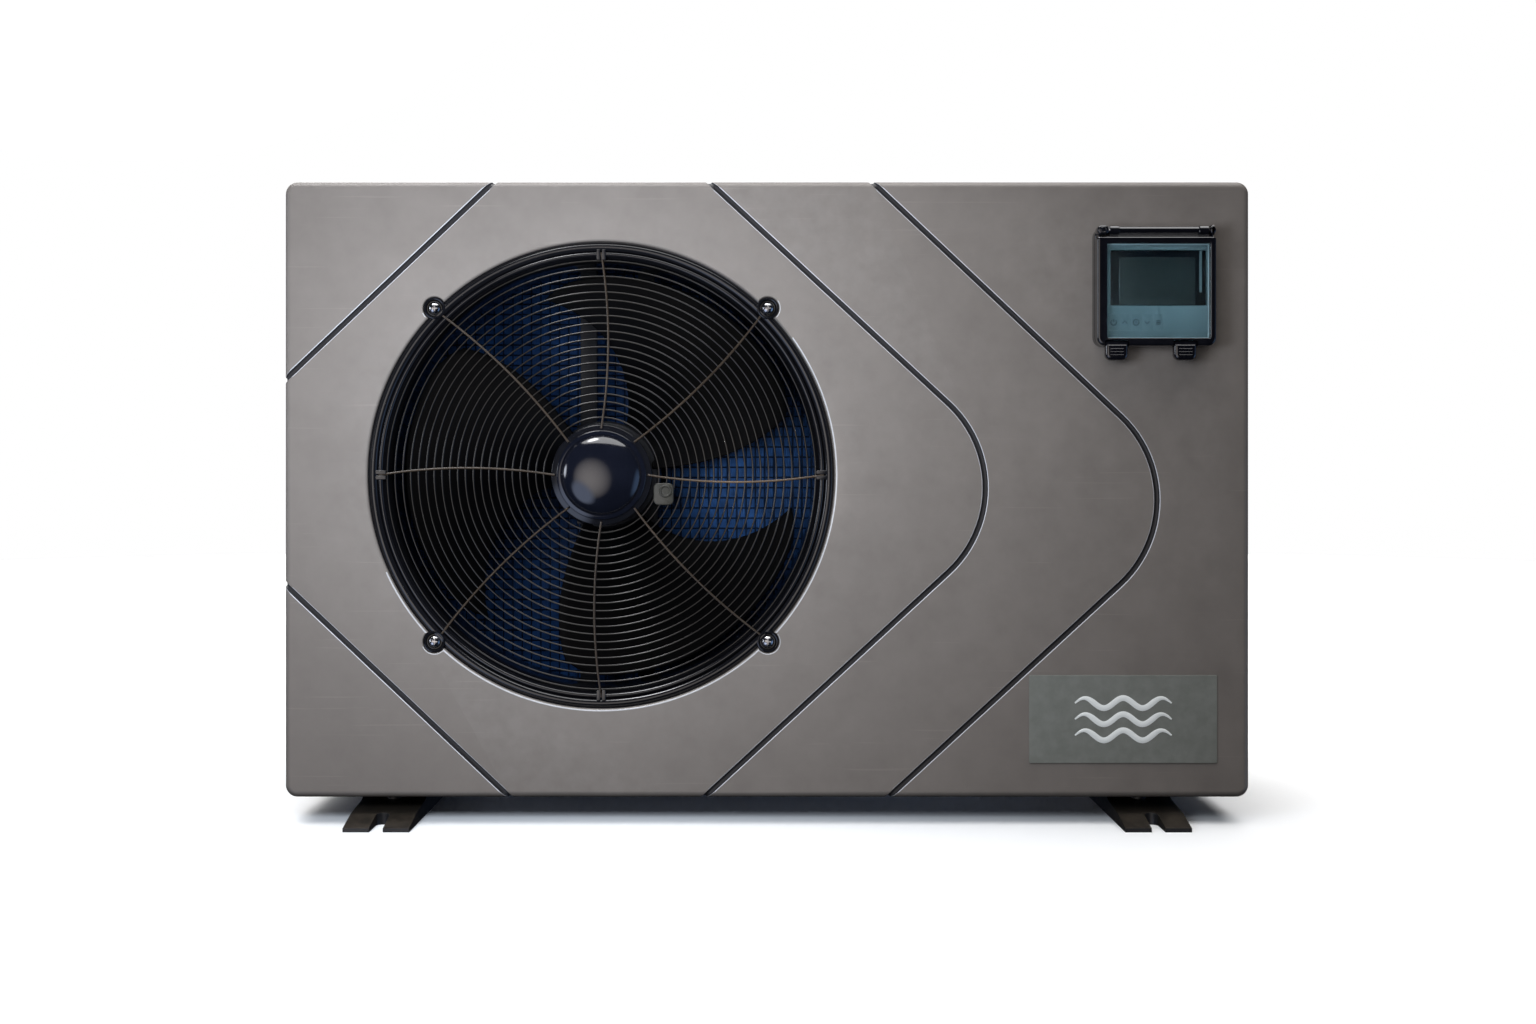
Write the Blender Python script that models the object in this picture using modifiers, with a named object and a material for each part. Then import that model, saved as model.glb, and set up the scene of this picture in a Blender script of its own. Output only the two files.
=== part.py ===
"""Side-discharge swimming-pool heat pump, as an assembly of separate pieces at their real size.

Frame: +Z up, +X to the right and the fan side facing -Y. The origin is on the ground, under the
middle of the whole unit's box. All sizes are in metres.
"""

import math

import bmesh
import bpy
from mathutils import Matrix, Vector

# Casing
CASE_WIDTH = 0.960
CASE_HEIGHT = 0.613
CASE_DEPTH = 0.340
GROUND_GAP = 0.027
TOE_REACH = 0.030  # the feet stand this far out of the casing, front and rear
UNION_REACH = 0.062  # the water unions stand this far out of the rear
WALL = 0.0045
SHEET = 0.003
FIT_GAP = 0.0003  # between pieces that touch
CUT_PAST = 0.01  # how far a cutter runs on past what it cuts
SLOT_PITCH = 0.040
CORNER_RADIUS = 0.012
EDGE_RADIUS = 0.007
FRONT_RIM = 0.040
REAR_RIM = 0.020
TOP_RIM = 0.030

FRONT_Y = (TOE_REACH - UNION_REACH - CASE_DEPTH) / 2
REAR_Y = FRONT_Y + CASE_DEPTH
LEFT_X = -CASE_WIDTH / 2
RIGHT_X = CASE_WIDTH / 2
BOTTOM_Z = GROUND_GAP
TOP_Z = GROUND_GAP + CASE_HEIGHT

# Fan, its guard and its opening
FAN_X = -0.165
FAN_Z = 0.348
OPENING_RADIUS = 0.2327
LUG_RADIUS = 0.2345  # from the fan's axis to each guard screw
LUG_POCKET = 0.0115
GUARD_RINGS = 21
GUARD_PITCH = 0.0078
GUARD_OUTER_WIRE = 0.2135
GUARD_SPOKES = 8
SPOKE_BOW = 0.007
THROAT_RADIUS = 0.2135
BLADE_COUNT = 3
BLADE_PHASE = math.radians(38)
BLADE_TIP = 0.205
HUB_RADIUS = 0.055
SHAFT_RADIUS = 0.006

# Face grooves: each runs between two edges of the face, round one bend where it has one
GROOVE_DEPTH = 0.003
GROOVE_PROUD = 0.0004  # the grooving bar's axis stands this far outside the face
GROOVE_BEND = 0.114
GROOVES = (
    ((LEFT_X, 0.442), (-0.271, TOP_Z)),
    ((LEFT_X, 0.240), (-0.255, BOTTOM_Z)),
    ((-0.058, TOP_Z), (0.271, 0.335), (-0.063, BOTTOM_Z)),
    ((0.104, TOP_Z), (0.441, 0.322), (0.120, BOTTOM_Z)),
)

# Controller under its hinged cover
PANEL_X = 0.3816
PANEL_Z = 0.534
PANEL_WIDTH = 0.117
PANEL_HEIGHT = 0.119
PANEL_BASE = 0.0130  # its base stands this far off the face
COVER_THICKNESS = 0.0093
COVER_PIVOT = Vector((PANEL_X, FRONT_Y - 0.0182, PANEL_Z + 0.0542))
EAR_RADIUS = 0.0048
EAR_WIDTH = 0.0055
PIN_RADIUS = 0.0018
PIN_HOLE = 0.0022
# Boxes on the face as (left, right, low, top), from the controller's middle
FACE_HOLE = (-0.0535, 0.0565, -0.0555, 0.0485)
TUB_ROOM = (-0.0512, 0.0542, -0.0530, 0.0455)
SCREEN = (-0.0422, 0.0522, -0.0182, 0.0358)
SIGHT = (-0.0485, 0.0525, -0.0515, 0.0410)  # the cover's clear part
LATCH_PLACES = {"left": -0.0390, "right": 0.0282}
LATCH_PIVOT_Z = PANEL_Z - 0.0570
LATCH_HALF = 0.0112
KEY_COUNT = 5
KEY_PITCH = 0.0110
KEY_START = -0.0395
KEY_HALF = 0.0046
KEY_LOW = -0.0434
KEY_TOP = -0.0272

# Inside
DIVIDER_X = 0.115
FOOT_X = 0.3813
FOOT_WIDTH = 0.065
FOOT_SLOT = 0.0135
UNION_X = 0.392
INLET_Z = 0.140
OUTLET_Z = 0.310
EXCHANGER_Y = FRONT_Y + 0.130
EXCHANGER_RADIUS = 0.068
EXCHANGER_TOP = 0.405
COMPRESSOR_X = 0.215
COMPRESSOR_Y = FRONT_Y + 0.150
COIL_FRONT = FRONT_Y + 0.278
COIL_BACK = FRONT_Y + 0.313
COIL_RIGHT = DIVIDER_X - 0.030
LINE_Y = (COIL_FRONT + COIL_BACK) / 2
FIN_PITCH = 0.018
FIN_THICKNESS = 0.0025
LIQUID_Z = 0.144  # where the two refrigerant lines enter the coil
GAS_Z = 0.496
REFRIGERANT_PIPE = 0.0050
LIQUID_PIPE = 0.0040
VALVE_Z = 0.385
WATER_BORE = 0.0180
WATER_PIPE = 0.0225
NUT_RADIUS = 0.0340
GLAND_Z = 0.470


def clear_scene():
    for obj in list(bpy.data.objects):
        bpy.data.objects.remove(obj)


def new_collection(name):
    collection = bpy.data.collections.new(name)
    bpy.context.scene.collection.children.link(collection)
    return collection


def finish(name, colour, roughness, metallic=0.0):
    """A Principled material."""
    material = bpy.data.materials.new(name)
    material.use_nodes = True
    shader = material.node_tree.nodes["Principled BSDF"]
    shader.inputs["Base Color"].default_value = (*colour, 1.0)
    shader.inputs["Roughness"].default_value = roughness
    shader.inputs["Metallic"].default_value = metallic
    return material


clear_scene()
PARTS = new_collection("pool_heat_pump")
CUTTERS = new_collection("cutters")

CASING = finish("casing", (0.145, 0.130, 0.122), 0.45, 0.3)
BLACK_GLOSS = finish("black_gloss", (0.012, 0.012, 0.014), 0.15)
BLACK_MATT = finish("black_matt", (0.020, 0.020, 0.021), 0.6)
GUARD_WIRE = finish("guard_wire", (0.10, 0.09, 0.08), 0.35, 0.8)
FOOT_STEEL = finish("foot_steel", (0.045, 0.038, 0.030), 0.45, 0.4)
GALVANISED = finish("galvanised", (0.55, 0.56, 0.57), 0.4, 1.0)
BLUE_FINS = finish("blue_fins", (0.03, 0.12, 0.42), 0.4, 0.6)
COPPER = finish("copper", (0.72, 0.33, 0.18), 0.3, 1.0)
WHITE_PVC = finish("white_pvc", (0.75, 0.76, 0.76), 0.4)
GREY_PVC = finish("grey_pvc", (0.22, 0.23, 0.24), 0.45)
TITANIUM = finish("titanium", (0.45, 0.44, 0.42), 0.3, 1.0)
BADGE = finish("badge", (0.11, 0.11, 0.10), 0.5)
KEYPAD = finish("keypad", (0.075, 0.125, 0.150), 0.35)
LCD = finish("lcd", (0.018, 0.026, 0.030), 0.15)
CLEAR = finish("clear_cover", (0.60, 0.70, 0.72), 0.05)
BOARD = finish("board", (0.02, 0.16, 0.07), 0.5)
SCREW_STEEL = finish("screw_steel", (0.50, 0.50, 0.52), 0.3, 1.0)


def link(obj, material):
    """Puts a new object among the parts, shaded smooth between its sharp edges."""
    for collection in list(obj.users_collection):
        collection.objects.unlink(obj)
    PARTS.objects.link(obj)
    if material:
        obj.data.materials.append(material)
    if obj.type == "MESH":
        obj.data.shade_smooth()
        obj.data.set_sharp_from_angle(angle=math.radians(35))
    return obj


def from_bmesh(name, bm, material, location=(0, 0, 0), rotation=(0, 0, 0)):
    mesh = bpy.data.meshes.new(name)
    bm.to_mesh(mesh)
    bm.free()
    obj = bpy.data.objects.new(name, mesh)
    obj.location = location
    obj.rotation_euler = rotation
    return link(obj, material)


def block(name, low, high, material=None, rounding=0.0, steps=2, along="XYZ"):
    """A box between two corners, with the edges that run along the given axes rounded."""
    size = Vector(high) - Vector(low)
    bm = bmesh.new()
    bmesh.ops.create_cube(bm, size=1, matrix=Matrix.Diagonal((*size, 1)))
    if rounding:
        chosen = []
        for edge in bm.edges:
            run = edge.verts[1].co - edge.verts[0].co
            if "XYZ"[max(range(3), key=lambda axis: abs(run[axis]))] in along:
                chosen.append(edge)
        bmesh.ops.bevel(bm, geom=chosen, offset=rounding, segments=steps, affect="EDGES", profile=0.5)
    return from_bmesh(name, bm, material, (Vector(low) + Vector(high)) / 2)


def panel_block(name, left, right, low, high, near, far, material=None, **shape):
    """A box placed from the controller's middle. Near and far are how far it stands off the face."""
    return block(
        name,
        (PANEL_X + left, FRONT_Y - far, PANEL_Z + low),
        (PANEL_X + right, FRONT_Y - near, PANEL_Z + high),
        material,
        **shape,
    )


def inset(box, by):
    """A (left, right, low, top) box drawn in by a margin, or grown where the margin is negative."""
    left, right, low, top = box
    return left + by, right - by, low + by, top - by


AXIS_TURN = {
    "X": (0, math.pi / 2, 0),
    "Y": (-math.pi / 2, 0, 0),
    "Z": (0, 0, 0),
}
AXIS_WAY = {"X": Vector((1, 0, 0)), "Y": Vector((0, 1, 0)), "Z": Vector((0, 0, 1))}


def cylinder(name, start, axis, length, radius, material=None, sides=24, far_radius=None):
    """A cylinder or cone from start, along +X, +Y or +Z."""
    bm = bmesh.new()
    far = radius if far_radius is None else far_radius
    bmesh.ops.create_cone(
        bm, cap_ends=True, segments=sides, radius1=radius, radius2=far, depth=length
    )
    middle = Vector(start) + AXIS_WAY[axis] * length / 2
    return from_bmesh(name, bm, material, middle, AXIS_TURN[axis])


def turned(name, profile, start, axis, material=None, steps=32, closed=False):
    """A turned shape. The profile is (radius, way along the axis), down its outer side."""
    bm = bmesh.new()
    verts = [bm.verts.new((radius, 0, along)) for radius, along in profile]
    for first, second in zip(verts, verts[1:]):
        bm.edges.new((first, second))
    if closed:
        bm.edges.new((verts[-1], verts[0]))
    obj = from_bmesh(name, bm, material, start, AXIS_TURN[axis])
    screw = obj.modifiers.new("turn", "SCREW")
    screw.axis = "Z"
    screw.steps = screw.render_steps = steps
    screw.use_merge_vertices = True
    screw.merge_threshold = 0.00001
    return obj


def tube(name, points, radius, material=None, resolution=1, cyclic=False):
    """A round bar along straight runs between points."""
    curve = bpy.data.curves.new(name, "CURVE")
    curve.dimensions = "3D"
    spline = curve.splines.new("POLY")
    spline.points.add(len(points) - 1)
    for place, point in zip(spline.points, points):
        place.co = (*point, 1)
    spline.use_cyclic_u = cyclic
    curve.bevel_depth = radius
    curve.bevel_resolution = resolution
    curve.use_fill_caps = not cyclic
    return link(bpy.data.objects.new(name, curve), material)


def plate(name, outline, thickness, location, rotation, material=None):
    """A flat outline in its own XY plane, extruded evenly to both sides of it."""
    curve = bpy.data.curves.new(name, "CURVE")
    curve.dimensions = "2D"
    curve.fill_mode = "BOTH"
    curve.extrude = thickness / 2
    spline = curve.splines.new("POLY")
    spline.points.add(len(outline) - 1)
    for place, (across, up) in zip(spline.points, outline):
        place.co = (across, up, 0, 1)
    spline.use_cyclic_u = True
    obj = bpy.data.objects.new(name, curve)
    obj.location = location
    obj.rotation_euler = rotation
    return link(obj, material)


def as_mesh(obj):
    """The same piece as a closed mesh, so that it can be cut or be a cutter."""
    bpy.context.view_layer.update()
    graph = bpy.context.evaluated_depsgraph_get()
    mesh = bpy.data.meshes.new_from_object(obj.evaluated_get(graph))
    bm = bmesh.new()
    bm.from_mesh(mesh)
    bmesh.ops.remove_doubles(bm, verts=bm.verts, dist=0.00001)
    bmesh.ops.recalc_face_normals(bm, faces=bm.faces)
    bm.to_mesh(mesh)
    bm.free()
    name, placed = obj.name, obj.matrix_world.copy()
    bpy.data.objects.remove(obj)
    made = bpy.data.objects.new(name, mesh)
    made.matrix_world = placed
    return link(made, None)


def joined(pieces):
    """Several meshes as one object. They stay separate bodies."""
    with bpy.context.temp_override(
        active_object=pieces[0], selected_editable_objects=pieces, selected_objects=pieces
    ):
        bpy.ops.object.join()
    return pieces[0]


def shape_with(target, tool, operation):
    boolean = target.modifiers.new(operation.lower(), "BOOLEAN")
    boolean.operation = operation
    boolean.solver = "EXACT"
    boolean.object = tool
    tool.hide_render = True
    tool.display_type = "WIRE"
    for collection in list(tool.users_collection):
        collection.objects.unlink(tool)
    CUTTERS.objects.link(tool)


def cut(target, *tools):
    for tool in tools:
        shape_with(target, tool, "DIFFERENCE")
    return target


def weld(target, *tools):
    for tool in tools:
        shape_with(target, tool, "UNION")
    return target


def pivot(name, place):
    """An empty on a joint's axis, for the pieces that move with it."""
    empty = bpy.data.objects.new(name, None)
    empty.location = place
    empty.empty_display_size = 0.05
    PARTS.objects.link(empty)
    return empty


def carry(empty, *pieces):
    """Parents pieces to a pivot, leaving them where they are."""
    for piece in pieces:
        piece.parent = empty
        piece.location = piece.location - empty.location


def polar(radius, angle, depth):
    """A point round the fan's axis. The angle runs from +X towards +Z, the depth back from the face."""
    return Vector(
        (FAN_X + radius * math.cos(angle), FRONT_Y + depth, FAN_Z + radius * math.sin(angle))
    )


def lug_place(quarter, depth):
    """Where one of the guard's four screws stands, at a depth back from the face."""
    return polar(LUG_RADIUS, math.radians(45 + 90 * quarter), depth)


def bent_path(points, radius, steps):
    """A path through points in a plane, its inner corners rounded to a radius."""
    path = [Vector(points[0])]
    for before, corner, after in zip(points, points[1:], points[2:]):
        corner = Vector(corner)
        back = (Vector(before) - corner).normalized()
        on = (Vector(after) - corner).normalized()
        half = back.angle(on) / 2
        centre = corner + (back + on).normalized() * (radius / math.sin(half))
        first = corner + back * (radius / math.tan(half)) - centre
        last = corner + on * (radius / math.tan(half)) - centre
        sweep = first.angle(last)
        for step in range(steps + 1):
            share = step / steps
            mix = (
                first * math.sin((1 - share) * sweep) + last * math.sin(share * sweep)
            ) / math.sin(sweep)
            path.append(centre + mix)
    path.append(Vector(points[-1]))
    return path


def groove_cutter(name, route):
    """A four-sided bar along a groove, on over both edges of the face and back along the rim."""
    flat = bent_path(route, GROOVE_BEND, 8)
    face_y = FRONT_Y - GROOVE_PROUD
    path = []
    for end, inner in ((flat[0], flat[1]), (flat[-1], flat[-2])):
        outward = Vector((-1, 0)) if end.x == LEFT_X else Vector((0, 1 if end.y == TOP_Z else -1))
        edge = end + outward * GROOVE_PROUD
        shoulder = end + (inner - end).normalized() * EDGE_RADIUS
        path.append(
            [
                (edge.x, FRONT_Y + FRONT_RIM + GROOVE_DEPTH * 2, edge.y),
                (edge.x, FRONT_Y + EDGE_RADIUS, edge.y),
                (shoulder.x, face_y, shoulder.y),
            ]
        )
    middle = [(point.x, face_y, point.y) for point in flat[1:-1]]
    radius = GROOVE_DEPTH + GROOVE_PROUD
    return as_mesh(tube(name, path[0] + middle + path[1][::-1], radius, resolution=0))


def opening_cutters(prefix, radius, depth):
    """The round fan opening and its four pockets for the guard's screws."""
    start_y = FRONT_Y - CUT_PAST
    tools = [cylinder(prefix, (FAN_X, start_y, FAN_Z), "Y", depth + CUT_PAST, radius, sides=48)]
    for quarter in range(4):
        place = lug_place(quarter, -CUT_PAST)
        tools.append(
            cylinder(f"{prefix}_lug_{quarter}", place, "Y", depth + CUT_PAST, LUG_POCKET, sides=12)
        )
    return tools


def make_front_panel():
    """Moulded front with a deep rim, a round fan opening, a controller cut-out and four grooves."""
    bm = bmesh.new()
    size = (CASE_WIDTH, FRONT_RIM, CASE_HEIGHT)
    bmesh.ops.create_cube(bm, size=1, matrix=Matrix.Diagonal((*size, 1)))
    corners = [edge for edge in bm.edges if abs(edge.verts[0].co.y - edge.verts[1].co.y) > 0.01]
    bmesh.ops.bevel(bm, geom=corners, offset=CORNER_RADIUS, segments=3, affect="EDGES", profile=0.5)
    face_y = -FRONT_RIM / 2
    brow = [edge for edge in bm.edges if all(abs(v.co.y - face_y) < 1e-6 for v in edge.verts)]
    bmesh.ops.bevel(bm, geom=brow, offset=EDGE_RADIUS, segments=3, affect="EDGES", profile=0.5)
    middle = (0, FRONT_Y + FRONT_RIM / 2, (BOTTOM_Z + TOP_Z) / 2)
    panel = from_bmesh("front_panel", bm, CASING, middle)
    hollow = block(
        "front_hollow",
        (LEFT_X + WALL, FRONT_Y + WALL, BOTTOM_Z + WALL),
        (RIGHT_X - WALL, FRONT_Y + FRONT_RIM + CUT_PAST, TOP_Z - WALL),
        rounding=CORNER_RADIUS - WALL,
        steps=2,
        along="Y",
    )
    window = panel_block("controller_cutout", *FACE_HOLE, -0.02, CUT_PAST)
    cut(panel, hollow, window, *opening_cutters("fan_opening", OPENING_RADIUS, 0.02))
    cut(panel, *(groove_cutter(f"groove_{n}", route) for n, route in enumerate(GROOVES)))


def make_side_panel(name, side):
    """A flat side with air slots low down and a moulded grip recess. The side is -1 or 1."""
    outer = side * CASE_WIDTH / 2
    inner = outer - side * SHEET
    front, back = FRONT_Y + FRONT_RIM + FIT_GAP, REAR_Y - REAR_RIM - FIT_GAP
    low, high = BOTTOM_Z, TOP_Z - TOP_RIM - FIT_GAP
    ends = sorted((outer, inner))
    panel = block(name, (ends[0], front, low), (ends[1], back, high), CASING)
    grip_y, grip_z = (front + back) / 2, high - 0.075
    cup_ends = sorted((outer - side * 0.0005, outer - side * 0.030))
    cup = block(
        f"{name}_cup",
        (cup_ends[0], grip_y - 0.062, grip_z - 0.026),
        (cup_ends[1], grip_y + 0.062, grip_z + 0.026),
    )
    hollow_ends = sorted((outer + side * CUT_PAST, outer - side * 0.027))
    hollow = block(
        f"{name}_grip",
        (hollow_ends[0], grip_y - 0.058, grip_z - 0.022),
        (hollow_ends[1], grip_y + 0.058, grip_z + 0.022),
    )
    weld(panel, cup)
    cut(panel, hollow)
    return panel, front, back


def cut_slots(target, name, low, high, count):
    """A row of equal openings, one above the other. Low and high are the lowest one's corners."""
    for index in range(count):
        lift = Vector((0, 0, index * SLOT_PITCH))
        cut(target, block(f"{name}_{index}", Vector(low) + lift, Vector(high) + lift))


def make_side_panels():
    left, front, back = make_side_panel("left_side_panel", -1)
    cut_slots(
        left,
        "left_air_slot",
        (LEFT_X - CUT_PAST, front + 0.025, 0.075),
        (LEFT_X + CUT_PAST, back - 0.015, 0.100),
        11,
    )
    make_side_panel("right_side_panel", 1)


def make_top_cover():
    """A shallow cap over both sides and the rear."""
    front, inner = FRONT_Y + FRONT_RIM + FIT_GAP, TOP_Z - TOP_RIM
    bm = bmesh.new()
    size = (CASE_WIDTH, REAR_Y - front, TOP_RIM)
    bmesh.ops.create_cube(bm, size=1, matrix=Matrix.Diagonal((*size, 1)))
    rear = size[1] / 2
    sides = [
        edge
        for edge in bm.edges
        if all(v.co.z > 0 for v in edge.verts) and any(v.co.y > rear - 1e-6 for v in edge.verts)
    ]
    bmesh.ops.bevel(bm, geom=sides, offset=EDGE_RADIUS, segments=3, affect="EDGES", profile=0.5)
    cover = from_bmesh("top_cover", bm, CASING, (0, (front + REAR_Y) / 2, inner + TOP_RIM / 2))
    hollow = block(
        "top_hollow",
        (LEFT_X + SHEET, front - CUT_PAST, inner - CUT_PAST),
        (RIGHT_X - SHEET, REAR_Y - SHEET, TOP_Z - SHEET),
    )
    cut(cover, hollow)


def rear_shell(name, low_x, high_x):
    """A rear panel with a rim along its outer side."""
    top = TOP_Z - TOP_RIM - FIT_GAP
    shell = block(name, (low_x, REAR_Y - REAR_RIM, BOTTOM_Z), (high_x, REAR_Y, top), CASING)
    hollow = block(
        f"{name}_hollow",
        (low_x + SHEET, REAR_Y - REAR_RIM - CUT_PAST, BOTTOM_Z + SHEET),
        (high_x - SHEET, REAR_Y - SHEET, top - SHEET),
    )
    return cut(shell, hollow)


def make_rear():
    """A louvred grille over the evaporator and a service panel round the water unions."""
    grille = rear_shell("rear_grille", LEFT_X, DIVIDER_X)
    for bay, (start, end) in enumerate(((LEFT_X + 0.030, -0.195), (-0.175, DIVIDER_X - 0.020))):
        cut_slots(
            grille,
            f"rear_air_slot_{bay}",
            (start, REAR_Y - CUT_PAST, 0.062),
            (end, REAR_Y + CUT_PAST, 0.088),
            13,
        )
    panel = rear_shell("rear_service_panel", DIVIDER_X + FIT_GAP, RIGHT_X)
    holes = [
        cylinder(f"union_hole_{n}", (UNION_X, REAR_Y - 0.02, z), "Y", 0.04, 0.0285, sides=20)
        for n, z in enumerate((INLET_Z, OUTLET_Z))
    ]
    gland = cylinder("gland_hole", (UNION_X, REAR_Y - 0.02, GLAND_Z), "Y", 0.04, 0.0105, sides=12)
    cut(panel, *holes, gland)


def make_base():
    """The drip tray that carries everything, its drain stub, and the wall between the two bays."""
    front, back = FRONT_Y + FRONT_RIM + FIT_GAP, REAR_Y - REAR_RIM - FIT_GAP
    side = CASE_WIDTH / 2 - SHEET - 0.001
    base = BOTTOM_Z + FIT_GAP
    pan = block("base_pan", (-side, front, base), (side, back, base + 0.022), GALVANISED)
    hollow = block(
        "pan_hollow",
        (-side + 0.0015, front + 0.0015, base + 0.002),
        (side - 0.0015, back - 0.0015, base + 0.05),
    )
    drain_place = (FAN_X, FRONT_Y + 0.170, base - 0.001)
    cut(pan, hollow, cylinder("drain_hole", drain_place, "Z", 0.02, 0.0095, sides=12))
    stub = [
        (0.0130, base - 0.0005),
        (0.0130, base - 0.0025),
        (0.0092, base - 0.0035),
        (0.0100, base - 0.0080),
        (0.0086, base - 0.0150),
        (0.0062, base - 0.0150),
        (0.0062, base + 0.0045),
        (0.0084, base + 0.0045),
        (0.0084, base - 0.0005),
    ]
    place = (FAN_X, FRONT_Y + 0.170, 0)
    turned("drain_stub", stub, place, "Z", BLACK_MATT, steps=12, closed=True)
    divider = block(
        "divider_panel",
        (DIVIDER_X, front + 0.004, base + 0.0025),
        (DIVIDER_X + 0.0015, back - 0.002, TOP_Z - 0.010),
        GALVANISED,
    )
    for n, height in enumerate((LIQUID_Z, GAS_Z)):
        place = (DIVIDER_X - CUT_PAST, LINE_Y, height)
        cut(divider, cylinder(f"line_hole_{n}", place, "X", 0.02, 0.0080, sides=12))


def foot_profile(front, back):
    """The side outline of a foot rail, (way back, up): low toes that rise under the casing."""
    rise = ((0, 0.0040), (0.030, 0.0115), (0.072, 0.0160), (0.100, 0.0265))
    top = [(front + run, height) for run, height in rise]
    top += [(back - run, height) for run, height in reversed(rise)]
    return [(front, 0), *top, (back, 0)]


def slot_cutters(prefix, x, front, back):
    """Open anchor slots in both toes, each with a round inner end."""
    tools = []
    for end, (mouth, reach) in {"front": (front, 0.026), "rear": (back, -0.026)}.items():
        start, stop = sorted((mouth - math.copysign(CUT_PAST, reach), mouth + reach))
        low, high = (x - FOOT_SLOT / 2, start, -CUT_PAST), (x + FOOT_SLOT / 2, stop, 0.03)
        tools.append(block(f"{prefix}_{end}_slot", low, high))
        place = (x, mouth + reach, -CUT_PAST)
        tools.append(cylinder(f"{prefix}_{end}_round", place, "Z", 0.04, FOOT_SLOT / 2, sides=12))
    return tools


def make_feet():
    """Two rails, front to back, hollow underneath, with open anchor slots in their toes."""
    front, back = FRONT_Y - TOE_REACH, REAR_Y + TOE_REACH
    for name, x in (("left", -FOOT_X), ("right", FOOT_X)):
        rail = as_mesh(
            plate(
                f"foot_rail_{name}",
                foot_profile(front, back),
                FOOT_WIDTH,
                (x, 0, 0),
                (math.pi / 2, 0, math.pi / 2),
                FOOT_STEEL,
            )
        )
        half = FOOT_WIDTH / 2 - 0.0025
        under = block(
            f"under_{name}",
            (x - half, front + 0.060, -CUT_PAST),
            (x + half, back - 0.060, 0.0125),
        )
        under_top = block(
            f"under_top_{name}",
            (x - half, front + 0.104, -CUT_PAST),
            (x + half, back - 0.104, 0.0240),
        )
        cut(rail, under, under_top, *slot_cutters(f"rail_{name}", x, front, back))


def make_badge():
    """A blank name plate, low on the right of the face."""
    block(
        "blank_badge",
        (0.2604, FRONT_Y - 0.0011, 0.0618),
        (0.4472, FRONT_Y - FIT_GAP, 0.1492),
        BADGE,
    )


def make_shroud():
    """The bell mouth behind the opening, with a bead round its face and a throat round the blades."""
    profile = [
        (0.2520, 0.0080),
        (0.2520, 0.0052),
        (0.2285, 0.0052),
        (0.2272, 0.0046),
        (0.2222, 0.0046),
        (0.2210, 0.0080),
        (0.2150, 0.0080),
        (THROAT_RADIUS, 0.0100),
        (THROAT_RADIUS, 0.0750),
        (0.2160, 0.0750),
        (0.2160, 0.0110),
        (0.2230, 0.0110),
        (0.2230, 0.0080),
    ]
    shroud = turned(
        "fan_shroud", profile[::-1], (FAN_X, FRONT_Y, FAN_Z), "Y", BLACK_GLOSS, 36, True
    )
    for quarter in range(4):
        place = lug_place(quarter, 0)
        cut(shroud, cylinder(f"shroud_hole_{quarter}", place, "Y", 0.02, 0.0026, sides=8))


def ring(name, radius, wire, steps, place):
    """A wire ring that faces the front."""
    bpy.ops.mesh.primitive_torus_add(
        location=place,
        rotation=(math.pi / 2, 0, 0),
        major_radius=radius,
        minor_radius=wire,
        major_segments=steps,
        minor_segments=4,
    )
    made = bpy.context.object
    made.name = name
    link(made, None)
    made.data.transform(made.matrix_basis)
    made.matrix_basis.identity()
    return made


def ring_steps(radius):
    """Fewer sides on the smaller rings."""
    return 24 if radius > 0.16 else 20 if radius > 0.10 else 16


def spoke(name, angle, outer):
    """One bowed wire in front of the rings, from the hub plate outwards."""
    inner, count, depth = 0.0465, 6, 0.0031
    points = []
    for step in range(count + 1):
        share = step / count
        radius = inner + (outer - inner) * share
        bow = SPOKE_BOW * 4 * share * (1 - share)
        points.append(polar(radius, angle - bow / radius, depth))
    return as_mesh(tube(name, points, 0.0011, resolution=0))


def make_guard():
    """The wire guard: thin rings, a stout rim and a hub plate behind eight spokes, four with eyes."""
    wire, centre = 0.0010, (FAN_X, FRONT_Y + 0.0045, FAN_Z)
    wires = [ring("fan_guard", 0.218, 0.0024, 32, (FAN_X, FRONT_Y + 0.0050, FAN_Z))]
    for index in range(GUARD_RINGS):
        radius = GUARD_OUTER_WIRE - index * GUARD_PITCH
        wires.append(ring(f"guard_ring_{index}", radius, wire, ring_steps(radius), centre))
    for quarter in range(4):
        wires.append(ring(f"guard_eye_{quarter}", 0.0062, 0.0013, 10, lug_place(quarter, 0.0031)))
    guard = joined(wires)
    guard.data.materials.clear()
    guard.data.materials.append(GUARD_WIRE)
    spokes = []
    for index in range(GUARD_SPOKES):
        outer = LUG_RADIUS - 0.0060 if index % 2 else 0.2195
        spokes.append(spoke(f"spoke_{index}", 2 * math.pi * index / GUARD_SPOKES, outer))
    plate_start = (FAN_X, FRONT_Y + 0.0038, FAN_Z)
    hub_plate = cylinder("guard_hub_plate", plate_start, "Y", 0.0024, 0.0500, sides=24)
    weld(guard, joined(spokes), hub_plate)
    cap = [
        (0.0000, 0.0150),
        (0.0150, 0.0142),
        (0.0290, 0.0112),
        (0.0390, 0.0062),
        (0.0400, 0.0030),
        (0.0445, 0.0024),
        (0.0445, 0.0000),
        (0.0000, 0.0000),
    ]
    cap = [(radius, 0.0034 - height) for radius, height in reversed(cap)]
    turned("guard_hub_cap", cap, (FAN_X, FRONT_Y, FAN_Z), "Y", BLACK_GLOSS, 24)


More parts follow.
